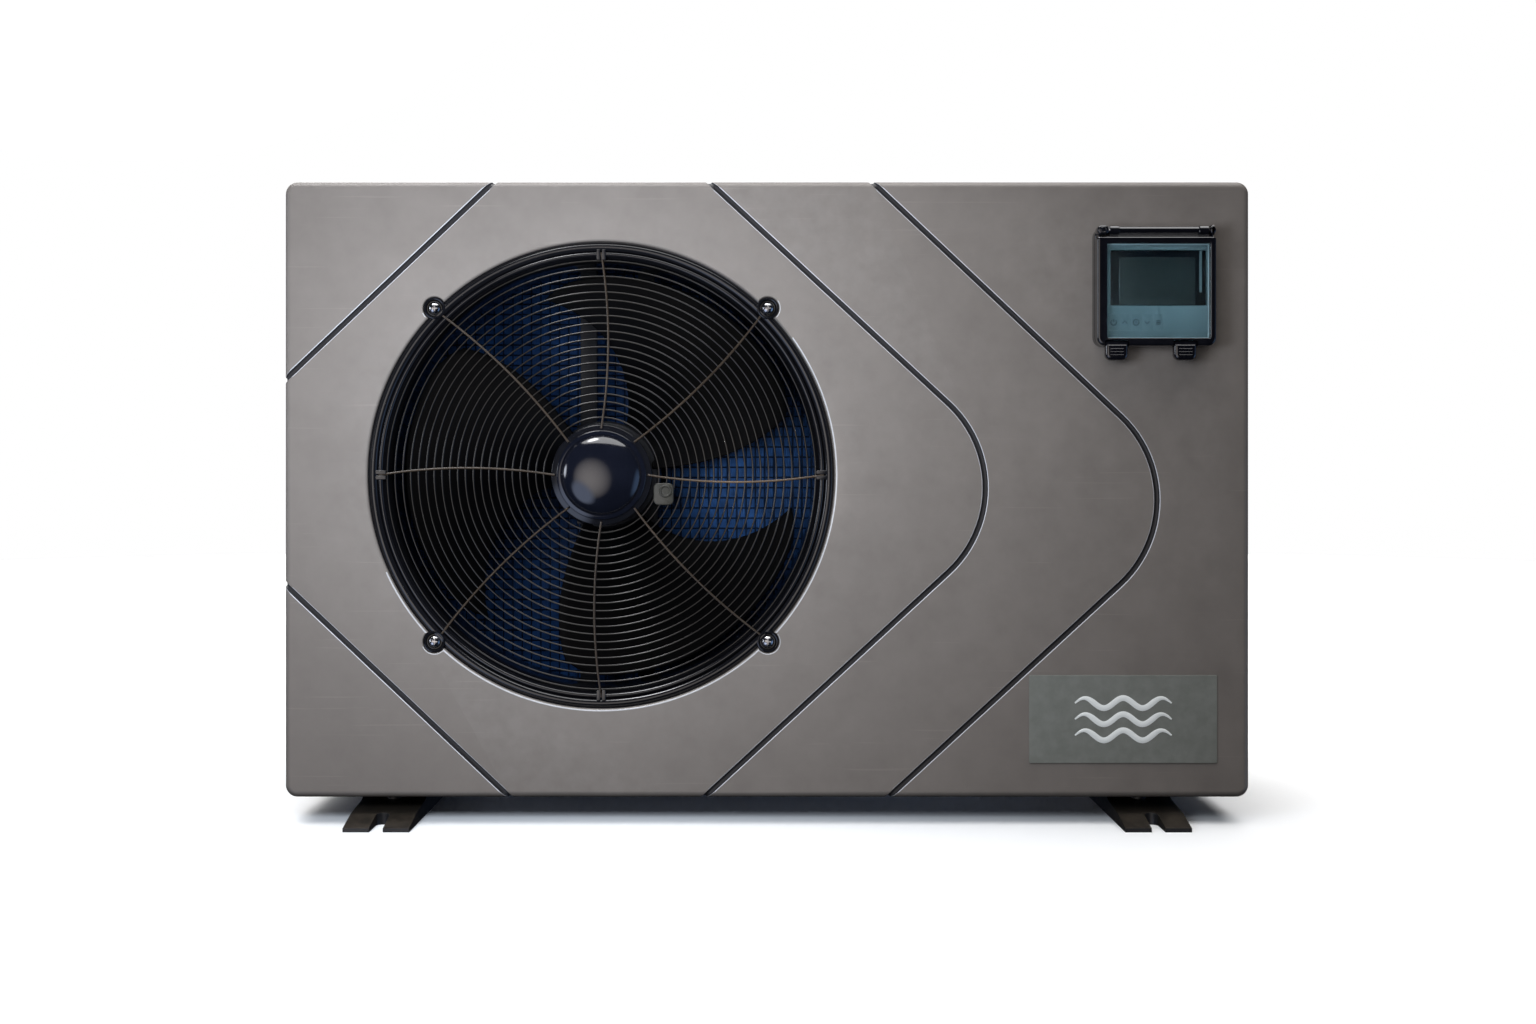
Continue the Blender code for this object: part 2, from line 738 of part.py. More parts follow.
def make_guard_screws():
    """Four domed screws through the guard's eyes into the shroud."""
    profile = [
        (0.0000, 0.0160),
        (0.0021, 0.0160),
        (0.0021, 0.0014),
        (0.0068, 0.0014),
        (0.0062, -0.0004),
        (0.0036, -0.0016),
        (0.0000, -0.0018),
    ]
    for quarter in range(4):
        place = lug_place(quarter, 0)
        turned(f"guard_screw_{quarter + 1}", profile, place, "Y", SCREW_STEEL, 10)


def blade_mesh(name, turn):
    """One swept, twisted fan blade, as an open sheet given its thickness by Solidify."""
    rows, columns = 5, 5
    bm = bmesh.new()
    grid = []
    for row in range(rows + 1):
        share = row / rows
        radius = HUB_RADIUS - 0.008 + (BLADE_TIP - HUB_RADIUS + 0.008) * share
        chord = math.radians(62 + 30 * share)
        sweep = math.radians(26) * share**1.4
        pitch = 0.046 - 0.012 * share
        line = []
        for column in range(columns + 1):
            across = column / columns
            angle = turn + sweep + chord * (across - 0.5)
            camber = 0.007 * math.sin(math.pi * across)
            depth = 0.0575 + pitch * (across - 0.5) - camber
            line.append(bm.verts.new(polar(radius, angle, depth)))
        grid.append(line)
    for lower, upper in zip(grid, grid[1:]):
        for near, far in zip(range(columns), range(1, columns + 1)):
            bm.faces.new((lower[near], lower[far], upper[far], upper[near]))
    sheet = from_bmesh(name, bm, None)
    solid = sheet.modifiers.new("thickness", "SOLIDIFY")
    solid.thickness = 0.0032
    solid.offset = 0
    return as_mesh(sheet)


def make_fan():
    """Rotor and shaft with its nut, which turn together, then the fixed motor and its bracket."""
    axis = (FAN_X, FRONT_Y, FAN_Z)
    hub = [
        (0.0000, 0.0850),
        (HUB_RADIUS, 0.0850),
        (HUB_RADIUS, 0.0360),
        (0.0480, 0.0300),
        (0.0000, 0.0300),
    ]
    rotor = turned("fan_rotor", hub, axis, "Y", BLACK_MATT, 24)
    blades = [
        blade_mesh(f"blade_{n}", BLADE_PHASE + 2 * math.pi * n / BLADE_COUNT)
        for n in range(BLADE_COUNT)
    ]
    bore = cylinder(
        "rotor_bore", (FAN_X, FRONT_Y + 0.02, FAN_Z), "Y", 0.08, SHAFT_RADIUS + 0.0005, sides=12
    )
    weld(rotor, joined(blades))
    cut(rotor, bore)
    shaft_start = (FAN_X, FRONT_Y + 0.0200, FAN_Z)
    shaft = cylinder("fan_shaft", shaft_start, "Y", 0.098, SHAFT_RADIUS, SCREW_STEEL, sides=12)
    nut_start = (FAN_X, FRONT_Y + 0.0225, FAN_Z)
    nut = cylinder("shaft_nut", nut_start, "Y", 0.007, 0.0110, sides=6)
    weld(shaft, nut)
    carry(pivot("fan_axis", axis), rotor, shaft)

    motor = [
        (0.0000, 0.1800),
        (0.0450, 0.1800),
        (0.0500, 0.1740),
        (0.0500, 0.1060),
        (0.0440, 0.1000),
        (0.0150, 0.0960),
        (SHAFT_RADIUS + 0.00015, 0.0960),
        (SHAFT_RADIUS + 0.00015, 0.1200),
        (0.0000, 0.1200),
    ]
    turned("fan_motor", motor, axis, "Y", BLACK_MATT, 20)
    rail_y = FRONT_Y + 0.1806
    bracket = block(
        "motor_bracket",
        (FAN_X - 0.045, rail_y, FAN_Z - 0.055),
        (FAN_X + 0.045, rail_y + 0.003, FAN_Z + 0.055),
        GALVANISED,
    )
    for n, side in enumerate((-1, 1)):
        middle = FAN_X + side * 0.032
        rail = block(
            f"bracket_rail_{n}",
            (middle - 0.009, rail_y + 0.001, BOTTOM_Z + 0.004),
            (middle + 0.009, rail_y + 0.013, TOP_Z - 0.008),
        )
        weld(bracket, rail)


def half_bend(name, low, high, reach):
    """A U-bend of tube between two points, bulging by the reach vector."""
    low, high, reach = Vector(low), Vector(high), Vector(reach)
    middle, arm = (low + high) / 2 + reach * 0.3, (low - high) / 2
    points = [low]
    for step in range(5):
        angle = math.pi * step / 4
        points.append(middle + arm * math.cos(angle) + reach * 0.7 * math.sin(angle))
    points.append(high)
    return as_mesh(tube(name, points, 0.0048, resolution=0))


def comb(start, stop, back, front):
    """The outline of a row of fins on a thin spine, as (along, out) points."""
    web = math.copysign(FIN_THICKNESS, front - back)
    first_end = start + FIN_THICKNESS
    count = int((stop - first_end) / FIN_PITCH)
    outline = [(start, back), (start, front), (first_end, front), (first_end, back + web)]
    for step in range(count):
        end = stop - FIN_PITCH * (count - 1 - step)
        tip = end - FIN_THICKNESS
        outline += [(tip, back + web), (tip, front), (end, front), (end, back + web)]
    outline[-1] = (stop, back)
    return outline


def make_evaporator():
    """A finned coil along the rear and left sides, with a plate of bends at each end."""
    rear_front, rear_back = COIL_FRONT, COIL_BACK
    outer, inner = LEFT_X + 0.034, LEFT_X + 0.062
    right, tip = COIL_RIGHT, FRONT_Y + 0.068
    low, high = BOTTOM_Z + 0.006, TOP_Z - 0.020
    middle = (0, 0, (low + high) / 2)
    rear_arm = comb(outer, right, rear_front, rear_back)
    plate("evaporator_rear_fins", rear_arm, high - low, middle, (0, 0, 0), BLUE_FINS)
    side_arm = [(x, y) for y, x in comb(tip, rear_front - FIT_GAP, inner, outer)]
    plate("evaporator_side_fins", side_arm, high - low, middle, (0, 0, 0), BLUE_FINS)
    end = block(
        "coil_end_plate_right",
        (right + FIT_GAP, rear_front, low),
        (right + 0.0030, rear_back, high),
        GALVANISED,
    )
    side = block(
        "coil_end_plate_left",
        (outer, tip - 0.0030, low),
        (inner, tip - FIT_GAP, high),
        GALVANISED,
    )
    middle_x, x, y = (outer + inner) / 2, right + 0.0014, tip - 0.0014
    right_bends, left_bends = [], []
    for index in range(6):
        start = low + 0.045 + index * 0.088
        stop = start + 0.044
        right_bends.append(
            half_bend(f"right_bend_{index}", (x, LINE_Y, start), (x, LINE_Y, stop), (0.0190, 0, 0))
        )
        left_bends.append(
            half_bend(f"left_bend_{index}", (middle_x, y, start), (middle_x, y, stop), (0, -0.0170, 0))
        )
    weld(end, joined(right_bends))
    weld(side, joined(left_bends))


def make_compressor():
    """Rotary compressor on its foot plate, its accumulator, the reversing valve and two pipes."""
    base = BOTTOM_Z + 0.008
    body = [
        (0.0000, base + 0.285),
        (0.0300, base + 0.280),
        (0.0500, base + 0.266),
        (0.0580, base + 0.245),
        (0.0580, base + 0.040),
        (0.0500, base + 0.022),
        (0.0300, base + 0.012),
        (0.0000, base + 0.010),
    ]
    compressor = turned("compressor", body, (COMPRESSOR_X, COMPRESSOR_Y, 0), "Z", BLACK_MATT, 20)
    foot = cylinder(
        "compressor_foot", (COMPRESSOR_X, COMPRESSOR_Y, base + 0.006), "Z", 0.010, 0.078, sides=3
    )
    weld(compressor, foot)
    tank_x, tank_y = COMPRESSOR_X + 0.088, COMPRESSOR_Y + 0.060
    tank = [
        (0.0000, 0.300),
        (0.0180, 0.294),
        (0.0260, 0.280),
        (0.0260, 0.130),
        (0.0180, 0.116),
        (0.0000, 0.110),
    ]
    turned("accumulator", tank, (tank_x, tank_y, 0), "Z", BLACK_MATT, 16)

    valve_y, valve_low = COMPRESSOR_Y + 0.060, VALVE_Z - 0.0263
    left_x, right_x = COMPRESSOR_X - 0.024, COMPRESSOR_X + 0.024
    valve = cylinder(
        "reversing_valve", (COMPRESSOR_X - 0.045, valve_y, VALVE_Z), "X", 0.090, 0.013, COPPER, 12
    )
    coil_place = (COMPRESSOR_X - 0.015, valve_y - 0.030, VALVE_Z)
    coil = cylinder("valve_solenoid", coil_place, "Y", 0.025, 0.011, sides=10)
    suction_port = cylinder(
        "valve_suction", (COMPRESSOR_X, valve_y, valve_low + FIT_GAP), "Z", 0.02, 0.0055, sides=8
    )
    top_port = cylinder(
        "valve_inlet", (COMPRESSOR_X, valve_y, VALVE_Z + 0.005), "Z", 0.020, 0.0055, sides=8
    )
    to_coil = [
        (left_x, valve_y, VALVE_Z - 0.004),
        (left_x, valve_y, 0.362),
        (left_x - 0.012, valve_y + 0.012, 0.350),
        (0.150, LINE_Y - 0.014, 0.350),
        (0.142, LINE_Y, 0.362),
        (0.142, LINE_Y, GAS_Z - 0.012),
        (0.132, LINE_Y, GAS_Z),
        (COIL_RIGHT + 0.0033, LINE_Y, GAS_Z),
    ]
    crown_z = EXCHANGER_TOP + 0.018
    to_exchanger = [
        (right_x, valve_y, VALVE_Z - 0.004),
        (right_x, valve_y, 0.362),
        (right_x + 0.004, valve_y + 0.018, 0.350),
        (right_x + 0.016, valve_y + 0.026, 0.347),
        (0.333, valve_y + 0.026, 0.347),
        (0.345, valve_y + 0.026, 0.359),
        (0.345, valve_y + 0.026, 0.440),
        (0.349, valve_y + 0.014, 0.450),
        (0.371, EXCHANGER_Y + 0.012, 0.450),
        (0.375, EXCHANGER_Y, 0.440),
        (0.375, EXCHANGER_Y, crown_z + FIT_GAP),
    ]
    brazed = [
        as_mesh(tube(f"valve_line_{n}", line, REFRIGERANT_PIPE))
        for n, line in enumerate((to_coil, to_exchanger))
    ]
    weld(valve, coil, suction_port, top_port, *brazed)

    crown = base + 0.2853
    discharge = [
        (COMPRESSOR_X, COMPRESSOR_Y, crown),
        (COMPRESSOR_X, COMPRESSOR_Y, VALVE_Z + 0.035),
        (COMPRESSOR_X, COMPRESSOR_Y + 0.012, VALVE_Z + 0.050),
        (COMPRESSOR_X, valve_y - 0.012, VALVE_Z + 0.050),
        (COMPRESSOR_X, valve_y, VALVE_Z + 0.040),
        (COMPRESSOR_X, valve_y, VALVE_Z + 0.0253),
    ]
    tube("discharge_pipe", discharge, REFRIGERANT_PIPE, COPPER)
    suction = [
        (COMPRESSOR_X, valve_y, valve_low),
        (COMPRESSOR_X, valve_y, 0.340),
        (COMPRESSOR_X + 0.010, valve_y, 0.331),
        (tank_x - 0.010, tank_y, 0.331),
        (tank_x, tank_y, 0.321),
        (tank_x, tank_y, 0.3003),
    ]
    tube("suction_pipe", suction, REFRIGERANT_PIPE, COPPER)

    liquid = [
        (UNION_X - EXCHANGER_RADIUS - 0.0005, EXCHANGER_Y, 0.076),
        (0.308, EXCHANGER_Y, 0.076),
        (0.297, EXCHANGER_Y + 0.012, 0.076),
        (0.297, LINE_Y - 0.012, 0.076),
        (0.285, LINE_Y, 0.080),
        (0.200, LINE_Y, LIQUID_Z - 0.010),
        (0.185, LINE_Y, LIQUID_Z),
        (COIL_RIGHT + 0.0033, LINE_Y, LIQUID_Z),
    ]
    line = as_mesh(tube("expansion_valve_line", liquid, LIQUID_PIPE, COPPER))
    barrel = cylinder("expansion_body", (0.160, LINE_Y, LIQUID_Z - 0.014), "Z", 0.050, 0.0105, sides=12)
    weld(line, barrel)


def make_water_side():
    """Plastic shell with a titanium coil inside, its water pipes, and a union on each."""
    low, high, radius, wall = BOTTOM_Z + 0.012, EXCHANGER_TOP, EXCHANGER_RADIUS, 0.004
    shell = [
        (radius, high),
        (radius, low),
        (0.0000, low),
        (0.0000, low + wall),
        (radius - wall, low + wall),
        (radius - wall, high),
    ]
    middle = (UNION_X, EXCHANGER_Y, 0)
    body = turned("exchanger_shell", shell, middle, "Z", WHITE_PVC, 24, True)
    lid = [
        (0.0000, high + 0.018),
        (radius - 0.014, high + 0.014),
        (radius + 0.003, high + 0.004),
        (radius + 0.003, high + FIT_GAP),
        (0.0000, high + FIT_GAP),
    ]
    turned("exchanger_cap", lid, middle, "Z", GREY_PVC, 24)
    turns, steps = 6, 10
    helix = []
    for step in range(turns * steps + 1):
        angle = 2 * math.pi * step / steps
        height = low + 0.050 + (high - low - 0.100) * step / (turns * steps)
        helix.append(
            (UNION_X + 0.045 * math.cos(angle), EXCHANGER_Y + 0.045 * math.sin(angle), height)
        )
    tube("titanium_coil", helix, 0.0050, TITANIUM, resolution=0)

    wall_y = EXCHANGER_Y + radius
    end_y = REAR_Y + 0.012
    for name, z in (("inlet", INLET_Z), ("outlet", OUTLET_Z)):
        port = cylinder(f"{name}_port", (UNION_X, EXCHANGER_Y, z), "Y", 0.1, WATER_BORE, sides=16)
        cut(body, port)
        pipe = [
            (WATER_PIPE, wall_y + 0.001),
            (WATER_PIPE, end_y - 0.010),
            (0.0280, end_y - 0.010),
            (0.0280, end_y),
            (WATER_BORE, end_y),
            (WATER_BORE, wall_y + 0.001),
        ]
        turned(f"water_{name}_pipe", pipe[::-1], (UNION_X, 0, z), "Y", GREY_PVC, 16, True)
        tail_start = end_y + FIT_GAP
        tail_end = REAR_Y + UNION_REACH
        tail = [
            (0.0280, tail_start),
            (0.0280, tail_start + 0.004),
            (0.0235, tail_start + 0.004),
            (0.0235, tail_end),
            (0.0190, tail_end),
            (0.0190, tail_start + 0.012),
            (0.0165, tail_start + 0.010),
            (0.0165, tail_start),
        ]
        turned(f"{name}_tailpiece", tail[::-1], (UNION_X, 0, z), "Y", GREY_PVC, 16, True)
        nut_start, nut_end = REAR_Y + 0.0008, tail_start + 0.020
        nut_profile = [
            (NUT_RADIUS, nut_start),
            (NUT_RADIUS, nut_end),
            (0.0242, nut_end),
            (0.0242, tail_start + 0.0046),
            (0.0288, tail_start + 0.0046),
            (0.0288, nut_start),
        ]
        place = (UNION_X, 0, z)
        nut = turned(f"{name}_union_nut", nut_profile[::-1], place, "Y", BLACK_MATT, 16, True)
        for n in range(4):
            angle = math.pi * n / 2 + math.pi / 4
            lug_start = Vector((math.cos(angle), 0, math.sin(angle))) * NUT_RADIUS
            lug_start += Vector((UNION_X, nut_start + 0.003, z))
            lug = cylinder(f"{name}_lug_{n}", lug_start, "Y", 0.018, 0.0042, sides=8)
            weld(nut, lug)
        carry(pivot(f"{name}_nut_axis", (UNION_X, nut_start, z)), nut)
    block(
        "flow_switch",
        (UNION_X - 0.014, wall_y + 0.030, OUTLET_Z + 0.0228),
        (UNION_X + 0.014, wall_y + 0.066, OUTLET_Z + 0.062),
        BLACK_MATT,
        rounding=0.003,
        steps=1,
    )


def make_electrics():
    """Control box with its board and cover above the compressor, and the cable inlet at the rear."""
    low = Vector((DIVIDER_X + 0.010, FRONT_Y + 0.060, 0.465))
    high = Vector((DIVIDER_X + 0.190, FRONT_Y + 0.270, 0.600))
    tray = block("control_box", low, high, GALVANISED)
    skin = Vector((0.0015, 0.0015, 0.0015))
    room = block("box_room", low + skin, (high.x - 0.0015, high.y - 0.0015, high.z + 0.01))
    cut(tray, room)
    block(
        "control_box_cover",
        (low.x, low.y, high.z + FIT_GAP),
        (high.x, high.y, high.z + 0.0018),
        GALVANISED,
    )
    board = block(
        "main_board",
        (low.x + 0.012, low.y + 0.012, low.z + 0.010),
        (high.x - 0.012, high.y - 0.012, low.z + 0.012),
        BOARD,
    )
    for n in range(3):
        can = (low.x + 0.040 + 0.035 * n, low.y + 0.050, low.z + 0.0115)
        weld(board, cylinder(f"capacitor_{n}", can, "Z", 0.040, 0.0125, sides=12))
    sink = block(
        "heat_sink",
        (low.x + 0.030, low.y + 0.100, low.z + 0.0115),
        (high.x - 0.030, low.y + 0.170, low.z + 0.045),
    )
    weld(board, sink)

    gland = [
        (0.0135, REAR_Y + FIT_GAP),
        (0.0135, REAR_Y + 0.0100),
        (0.0115, REAR_Y + 0.0220),
        (0.0055, REAR_Y + 0.0240),
        (0.0055, REAR_Y - 0.0180),
        (0.0100, REAR_Y - 0.0180),
        (0.0100, REAR_Y + FIT_GAP),
    ]
    turned("cable_gland", gland[::-1], (UNION_X, 0, GLAND_Z), "Y", BLACK_MATT, 12, True)


def hinge_bore(name):
    """A bar right through the cover's hinge, for the pin."""
    start = COVER_PIVOT - Vector((PANEL_WIDTH / 2 + CUT_PAST, 0, 0))
    return cylinder(name, start, "X", PANEL_WIDTH + 2 * CUT_PAST, PIN_HOLE, sides=12)


def make_controller():
    """Base, display unit, screen and keys, set in the face."""
    wide, high = PANEL_WIDTH / 2, PANEL_HEIGHT / 2
    axis_z = COVER_PIVOT.z - PANEL_Z
    base = panel_block(
        "controller_base",
        -wide, wide, -high, high, FIT_GAP, PANEL_BASE,
        BLACK_GLOSS, rounding=0.010, steps=3, along="Y",
    )
    tub = panel_block("controller_tub", *inset(FACE_HOLE, 0.0005), -0.024, 0.006)
    room = panel_block("controller_room", *TUB_ROOM, -0.022, 0.02)
    weld(base, tub)
    cut(base, room)
    for n, (left, right) in enumerate(((-wide, -wide + EAR_WIDTH), (wide - EAR_WIDTH, wide))):
        ear_start = COVER_PIVOT + Vector((left, 0, 0))
        ear = cylinder(f"base_ear_{n}", ear_start, "X", EAR_WIDTH, EAR_RADIUS, sides=12)
        low, top = axis_z - EAR_RADIUS, axis_z + EAR_RADIUS - 0.0002
        web = panel_block(f"base_web_{n}", left, right, low, top, PANEL_BASE - 0.004, 0.0182)
        weld(base, ear, web)
    cut(base, hinge_bore("ear_bore"))
    pin_start = COVER_PIVOT - Vector((wide - 0.0005, 0, 0))
    cylinder(
        "cover_hinge_pin", pin_start, "X", PANEL_WIDTH - 0.001, PIN_RADIUS, SCREW_STEEL, sides=10
    )

    unit = panel_block("controller_unit", *inset(TUB_ROOM, 0.0005), -0.0215, 0.0100, KEYPAD)
    cut(unit, panel_block("screen_room", *inset(SCREEN, -FIT_GAP), 0.0030, 0.02))
    panel_block("display_screen", *SCREEN, 0.0033, 0.0050, LCD)
    for index in range(KEY_COUNT):
        x = KEY_START + index * KEY_PITCH
        box = (x - KEY_HALF, x + KEY_HALF, KEY_LOW, KEY_TOP)
        cut(unit, panel_block(f"key_well_{index}", *inset(box, -FIT_GAP), 0.0050, 0.02))
        key = panel_block(f"key_{index + 1}", *box, 0.0065, 0.0102, KEYPAD)
        carry(pivot(f"key_{index + 1}_travel", key.location), key)


def make_cover():
    """The hinged splash cover: frame and clear window, with a pivoting latch at each lower corner."""
    wide, high = PANEL_WIDTH / 2, PANEL_HEIGHT / 2
    back, front = PANEL_BASE + 0.0005, PANEL_BASE + 0.0005 + COVER_THICKNESS
    axis_z = COVER_PIVOT.z - PANEL_Z
    frame = panel_block(
        "cover_frame", -wide, wide, -high, axis_z - 0.0060, back, front,
        BLACK_GLOSS, rounding=0.008, steps=3, along="Y",
    )
    barrel_end = wide - 0.0060
    neck = panel_block("cover_neck", -barrel_end, barrel_end, axis_z - 0.0100, axis_z, back, front)
    barrel_start = COVER_PIVOT - Vector((barrel_end, 0, 0))
    barrel = cylinder(
        "cover_barrel", barrel_start, "X", 2 * barrel_end, COVER_THICKNESS / 2, sides=16
    )
    weld(frame, neck, barrel)
    sight = panel_block("cover_sight", *SIGHT, 0.0, 0.04)
    rebate = panel_block("cover_rebate", *inset(SIGHT, -0.0025), 0.0, back + 0.0026)
    cut(frame, sight, rebate, hinge_bore("cover_bore"))
    window = panel_block("cover_window", *inset(SIGHT, -0.0022), back + 0.0002, back + 0.0023, CLEAR)
    latch_z = LATCH_PIVOT_Z - PANEL_Z
    for name, x in LATCH_PLACES.items():
        left, right = x - LATCH_HALF, x + LATCH_HALF
        room = (left - 0.0006, right + 0.0006, -high - CUT_PAST, latch_z + 0.0036)
        notch = panel_block(f"latch_notch_{name}", *room, 0, 0.04)
        cut(frame, notch)
        place = Vector((PANEL_X + x, COVER_PIVOT.y, LATCH_PIVOT_Z))
        latch = panel_block(
            f"latch_{name}", left, right, -0.0735, latch_z, 0.0140, 0.0222,
            BLACK_GLOSS, rounding=0.0025, steps=2, along="Y",
        )
        axle = LATCH_HALF + 0.0002
        axle_start = place - Vector((axle, 0, 0))
        eye = cylinder(f"latch_eye_{name}", axle_start, "X", 2 * axle, 0.0032, sides=12)
        hook = panel_block(
            f"latch_hook_{name}", x - 0.0090, x + 0.0090, -0.0642, -0.0605, 0.0060, 0.0150
        )
        weld(latch, eye, hook)
        carry(pivot(f"latch_{name}_axis", place), latch)
    carry(pivot("cover_axis", COVER_PIVOT), frame, window)


make_front_panel()
make_side_panels()
make_top_cover()
make_rear()
make_base()
make_feet()
make_badge()
make_shroud()
make_guard()
make_guard_screws()
make_fan()
make_evaporator()
make_compressor()
make_water_side()
make_electrics()
make_controller()
make_cover()
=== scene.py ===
"""The visual model of a side-discharge pool heat pump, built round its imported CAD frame.

Everything is in metres in the frame's own space: +Z up, the fan side facing -Y. Most pieces are
made with their points in that space, so their objects sit at the origin.
"""

import math

import bmesh
import bpy
from mathutils import Matrix, Vector


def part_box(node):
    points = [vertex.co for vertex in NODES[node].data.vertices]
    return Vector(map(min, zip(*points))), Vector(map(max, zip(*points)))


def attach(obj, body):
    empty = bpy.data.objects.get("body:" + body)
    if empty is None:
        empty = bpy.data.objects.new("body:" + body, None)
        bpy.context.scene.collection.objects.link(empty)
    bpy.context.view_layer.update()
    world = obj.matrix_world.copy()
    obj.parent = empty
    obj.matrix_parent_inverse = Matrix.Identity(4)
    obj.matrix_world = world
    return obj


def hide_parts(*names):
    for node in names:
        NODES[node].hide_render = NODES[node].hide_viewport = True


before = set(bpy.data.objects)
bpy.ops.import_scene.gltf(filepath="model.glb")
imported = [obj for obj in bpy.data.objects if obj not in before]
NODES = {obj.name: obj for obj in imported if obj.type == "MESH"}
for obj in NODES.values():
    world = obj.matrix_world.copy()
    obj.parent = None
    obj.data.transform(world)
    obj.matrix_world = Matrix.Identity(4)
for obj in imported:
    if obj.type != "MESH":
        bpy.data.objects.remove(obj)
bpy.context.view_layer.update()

MM = 0.001

# Places read from the frame
PANEL_LOW, PANEL_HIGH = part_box("front_panel")
FRONT_Y = PANEL_LOW.y
LEFT_X, RIGHT_X = PANEL_LOW.x, PANEL_HIGH.x
BOTTOM_Z, TOP_Z = PANEL_LOW.z, PANEL_HIGH.z
REAR_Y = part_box("rear_grille")[1].y
CAP_LOW, CAP_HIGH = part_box("guard_hub_cap")
FAN_X = (CAP_LOW.x + CAP_HIGH.x) / 2
FAN_Z = (CAP_LOW.z + CAP_HIGH.z) / 2
FAN_AXIS = Vector((FAN_X, FRONT_Y, FAN_Z))

# Front panel
WALL = 4.5 * MM
CORNER_RADIUS = 12 * MM
EDGE_RADIUS = 7 * MM
OPENING_RADIUS = 232.7 * MM
OPENING_LIP = 3 * MM
LUG_RADIUS = 234.5 * MM
LUG_POCKET = 11.5 * MM
LUG_LIP = 1.6 * MM
LUG_ANGLES = [math.radians(45 + 90 * quarter) for quarter in range(4)]

# Grooves: each runs between two edges of the face, round one bend where it has one
GROOVE_BEND = 114 * MM
GROOVES = (
    ((LEFT_X, 0.442), (-0.271, TOP_Z)),
    ((LEFT_X, 0.240), (-0.255, BOTTOM_Z)),
    ((-0.058, TOP_Z), (0.271, 0.335), (-0.063, BOTTOM_Z)),
    ((0.104, TOP_Z), (0.441, 0.322), (0.120, BOTTOM_Z)),
)
# Half of a groove's section, from outside the face down to its floor: (across, out of the face)
GROOVE_HALF_MM = (
    (4.4, 1.0), (3.5, 0.03), (3.1, -0.14), (2.7, -0.50), (2.55, -1.0),
    (2.45, -1.8), (2.0, -2.7), (1.1, -3.1),
)
GROOVE_LIP_POINTS = 4
GROOVE_DEPTH = 3.2 * MM
GROOVE_ON_RIM = 0.42

# Air slots in the left side and the rear: how many, and the foot of the lowest
SLOT_PITCH = 40 * MM
SIDE_SLOTS, SIDE_SLOT_Z = 11, 75 * MM
REAR_SLOTS, REAR_SLOT_Z = 13, 62 * MM

# Guard
GUARD_RINGS = 21
GUARD_OUTER_WIRE = 213.5 * MM
GUARD_PITCH = 7.8 * MM
RING_WIRE = 0.95 * MM
RIM_RADIUS = 219.9 * MM
RIM_WIRE = 2.3 * MM
SPOKE_COUNT = 8
SPOKE_BOW = 7 * MM
SPOKE_WIRE = 1.1 * MM
CLIP_PLACE = ((FAN_X + 52 * MM, FAN_Z - 30 * MM), (FAN_X + 72 * MM, FAN_Z - 8 * MM))

# Fan
BLADE_COUNT = 3
BLADE_PHASE = math.radians(38)
BLADE_TIP = 205 * MM
HUB_RADIUS = 55 * MM

# Controller
BASE_LOW, BASE_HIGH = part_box("controller_base")
PIN_LOW, PIN_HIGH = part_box("cover_hinge_pin")
HINGE = (PIN_LOW + PIN_HIGH) / 2
EARS = (12.0 * MM, 6.6 * MM)
BASE_FACE = FRONT_Y - 13 * MM
UNIT_LOW, UNIT_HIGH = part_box("controller_unit")
SCREEN_LOW, SCREEN_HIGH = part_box("display_screen")

# Splash cover: its shell's faces, the window, and the part of the window in sight
COVER_LOW, COVER_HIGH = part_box("cover_frame")
COVER_TOP = HINGE.z - 6 * MM
COVER_FRONT, COVER_BACK = COVER_LOW.y, COVER_LOW.y + 9.3 * MM
WINDOW_LOW, WINDOW_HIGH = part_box("cover_window")
REBATE = 2.2 * MM
SIGHT_LOW = (WINDOW_LOW.x + REBATE, WINDOW_LOW.z + REBATE)
SIGHT_HIGH = (WINDOW_HIGH.x - REBATE, WINDOW_HIGH.z - REBATE)
BARREL = (COVER_LOW.x + EARS[0] + 0.5 * MM, COVER_HIGH.x - EARS[1] - 0.5 * MM)


# ---------------------------------------------------------------- mesh tools


def spot(axis, u, v, w):
    """The point u, v across and w along an axis."""
    return {"X": (w, u, v), "Y": (u, w, v), "Z": (u, v, w)}[axis]


def bridge(bm, first, second, closed=True):
    """Faces between two rows of points; a row of one point is a pole."""
    count = max(len(first), len(second))
    for i in range(count if closed else count - 1):
        j = (i + 1) % count
        if len(first) == 1:
            bm.faces.new((first[0], second[j], second[i]))
        elif len(second) == 1:
            bm.faces.new((first[i], first[j], second[0]))
        else:
            bm.faces.new((first[i], first[j], second[j], second[i]))


def skin(bm, rings, capped=(False, False)):
    """Faces from ring to ring, and over the first and the last where capped."""
    for first, second in zip(rings, rings[1:]):
        bridge(bm, first, second)
    for ring, cap in zip((rings[0], rings[-1]), capped):
        if cap:
            bm.faces.new(ring)


def in_mm(points):
    """Points given in millimetres, in metres."""
    return [(first * MM, second * MM) for first, second in points]


def arc(radius, start, stop, steps):
    """(u, v) points along an arc."""
    turns = [start + (stop - start) * step / steps for step in range(steps + 1)]
    return [(radius * math.cos(turn), radius * math.sin(turn)) for turn in turns]


def ring_about(bm, centre, along, reach, steps):
    """A ring of points round a Y axis, each reach(turn) out from it."""
    ring = []
    for step in range(steps):
        turn = 2 * math.pi * step / steps
        place = Vector((reach(turn) * math.cos(turn), along, reach(turn) * math.sin(turn)))
        ring.append(bm.verts.new(centre + place))
    return ring


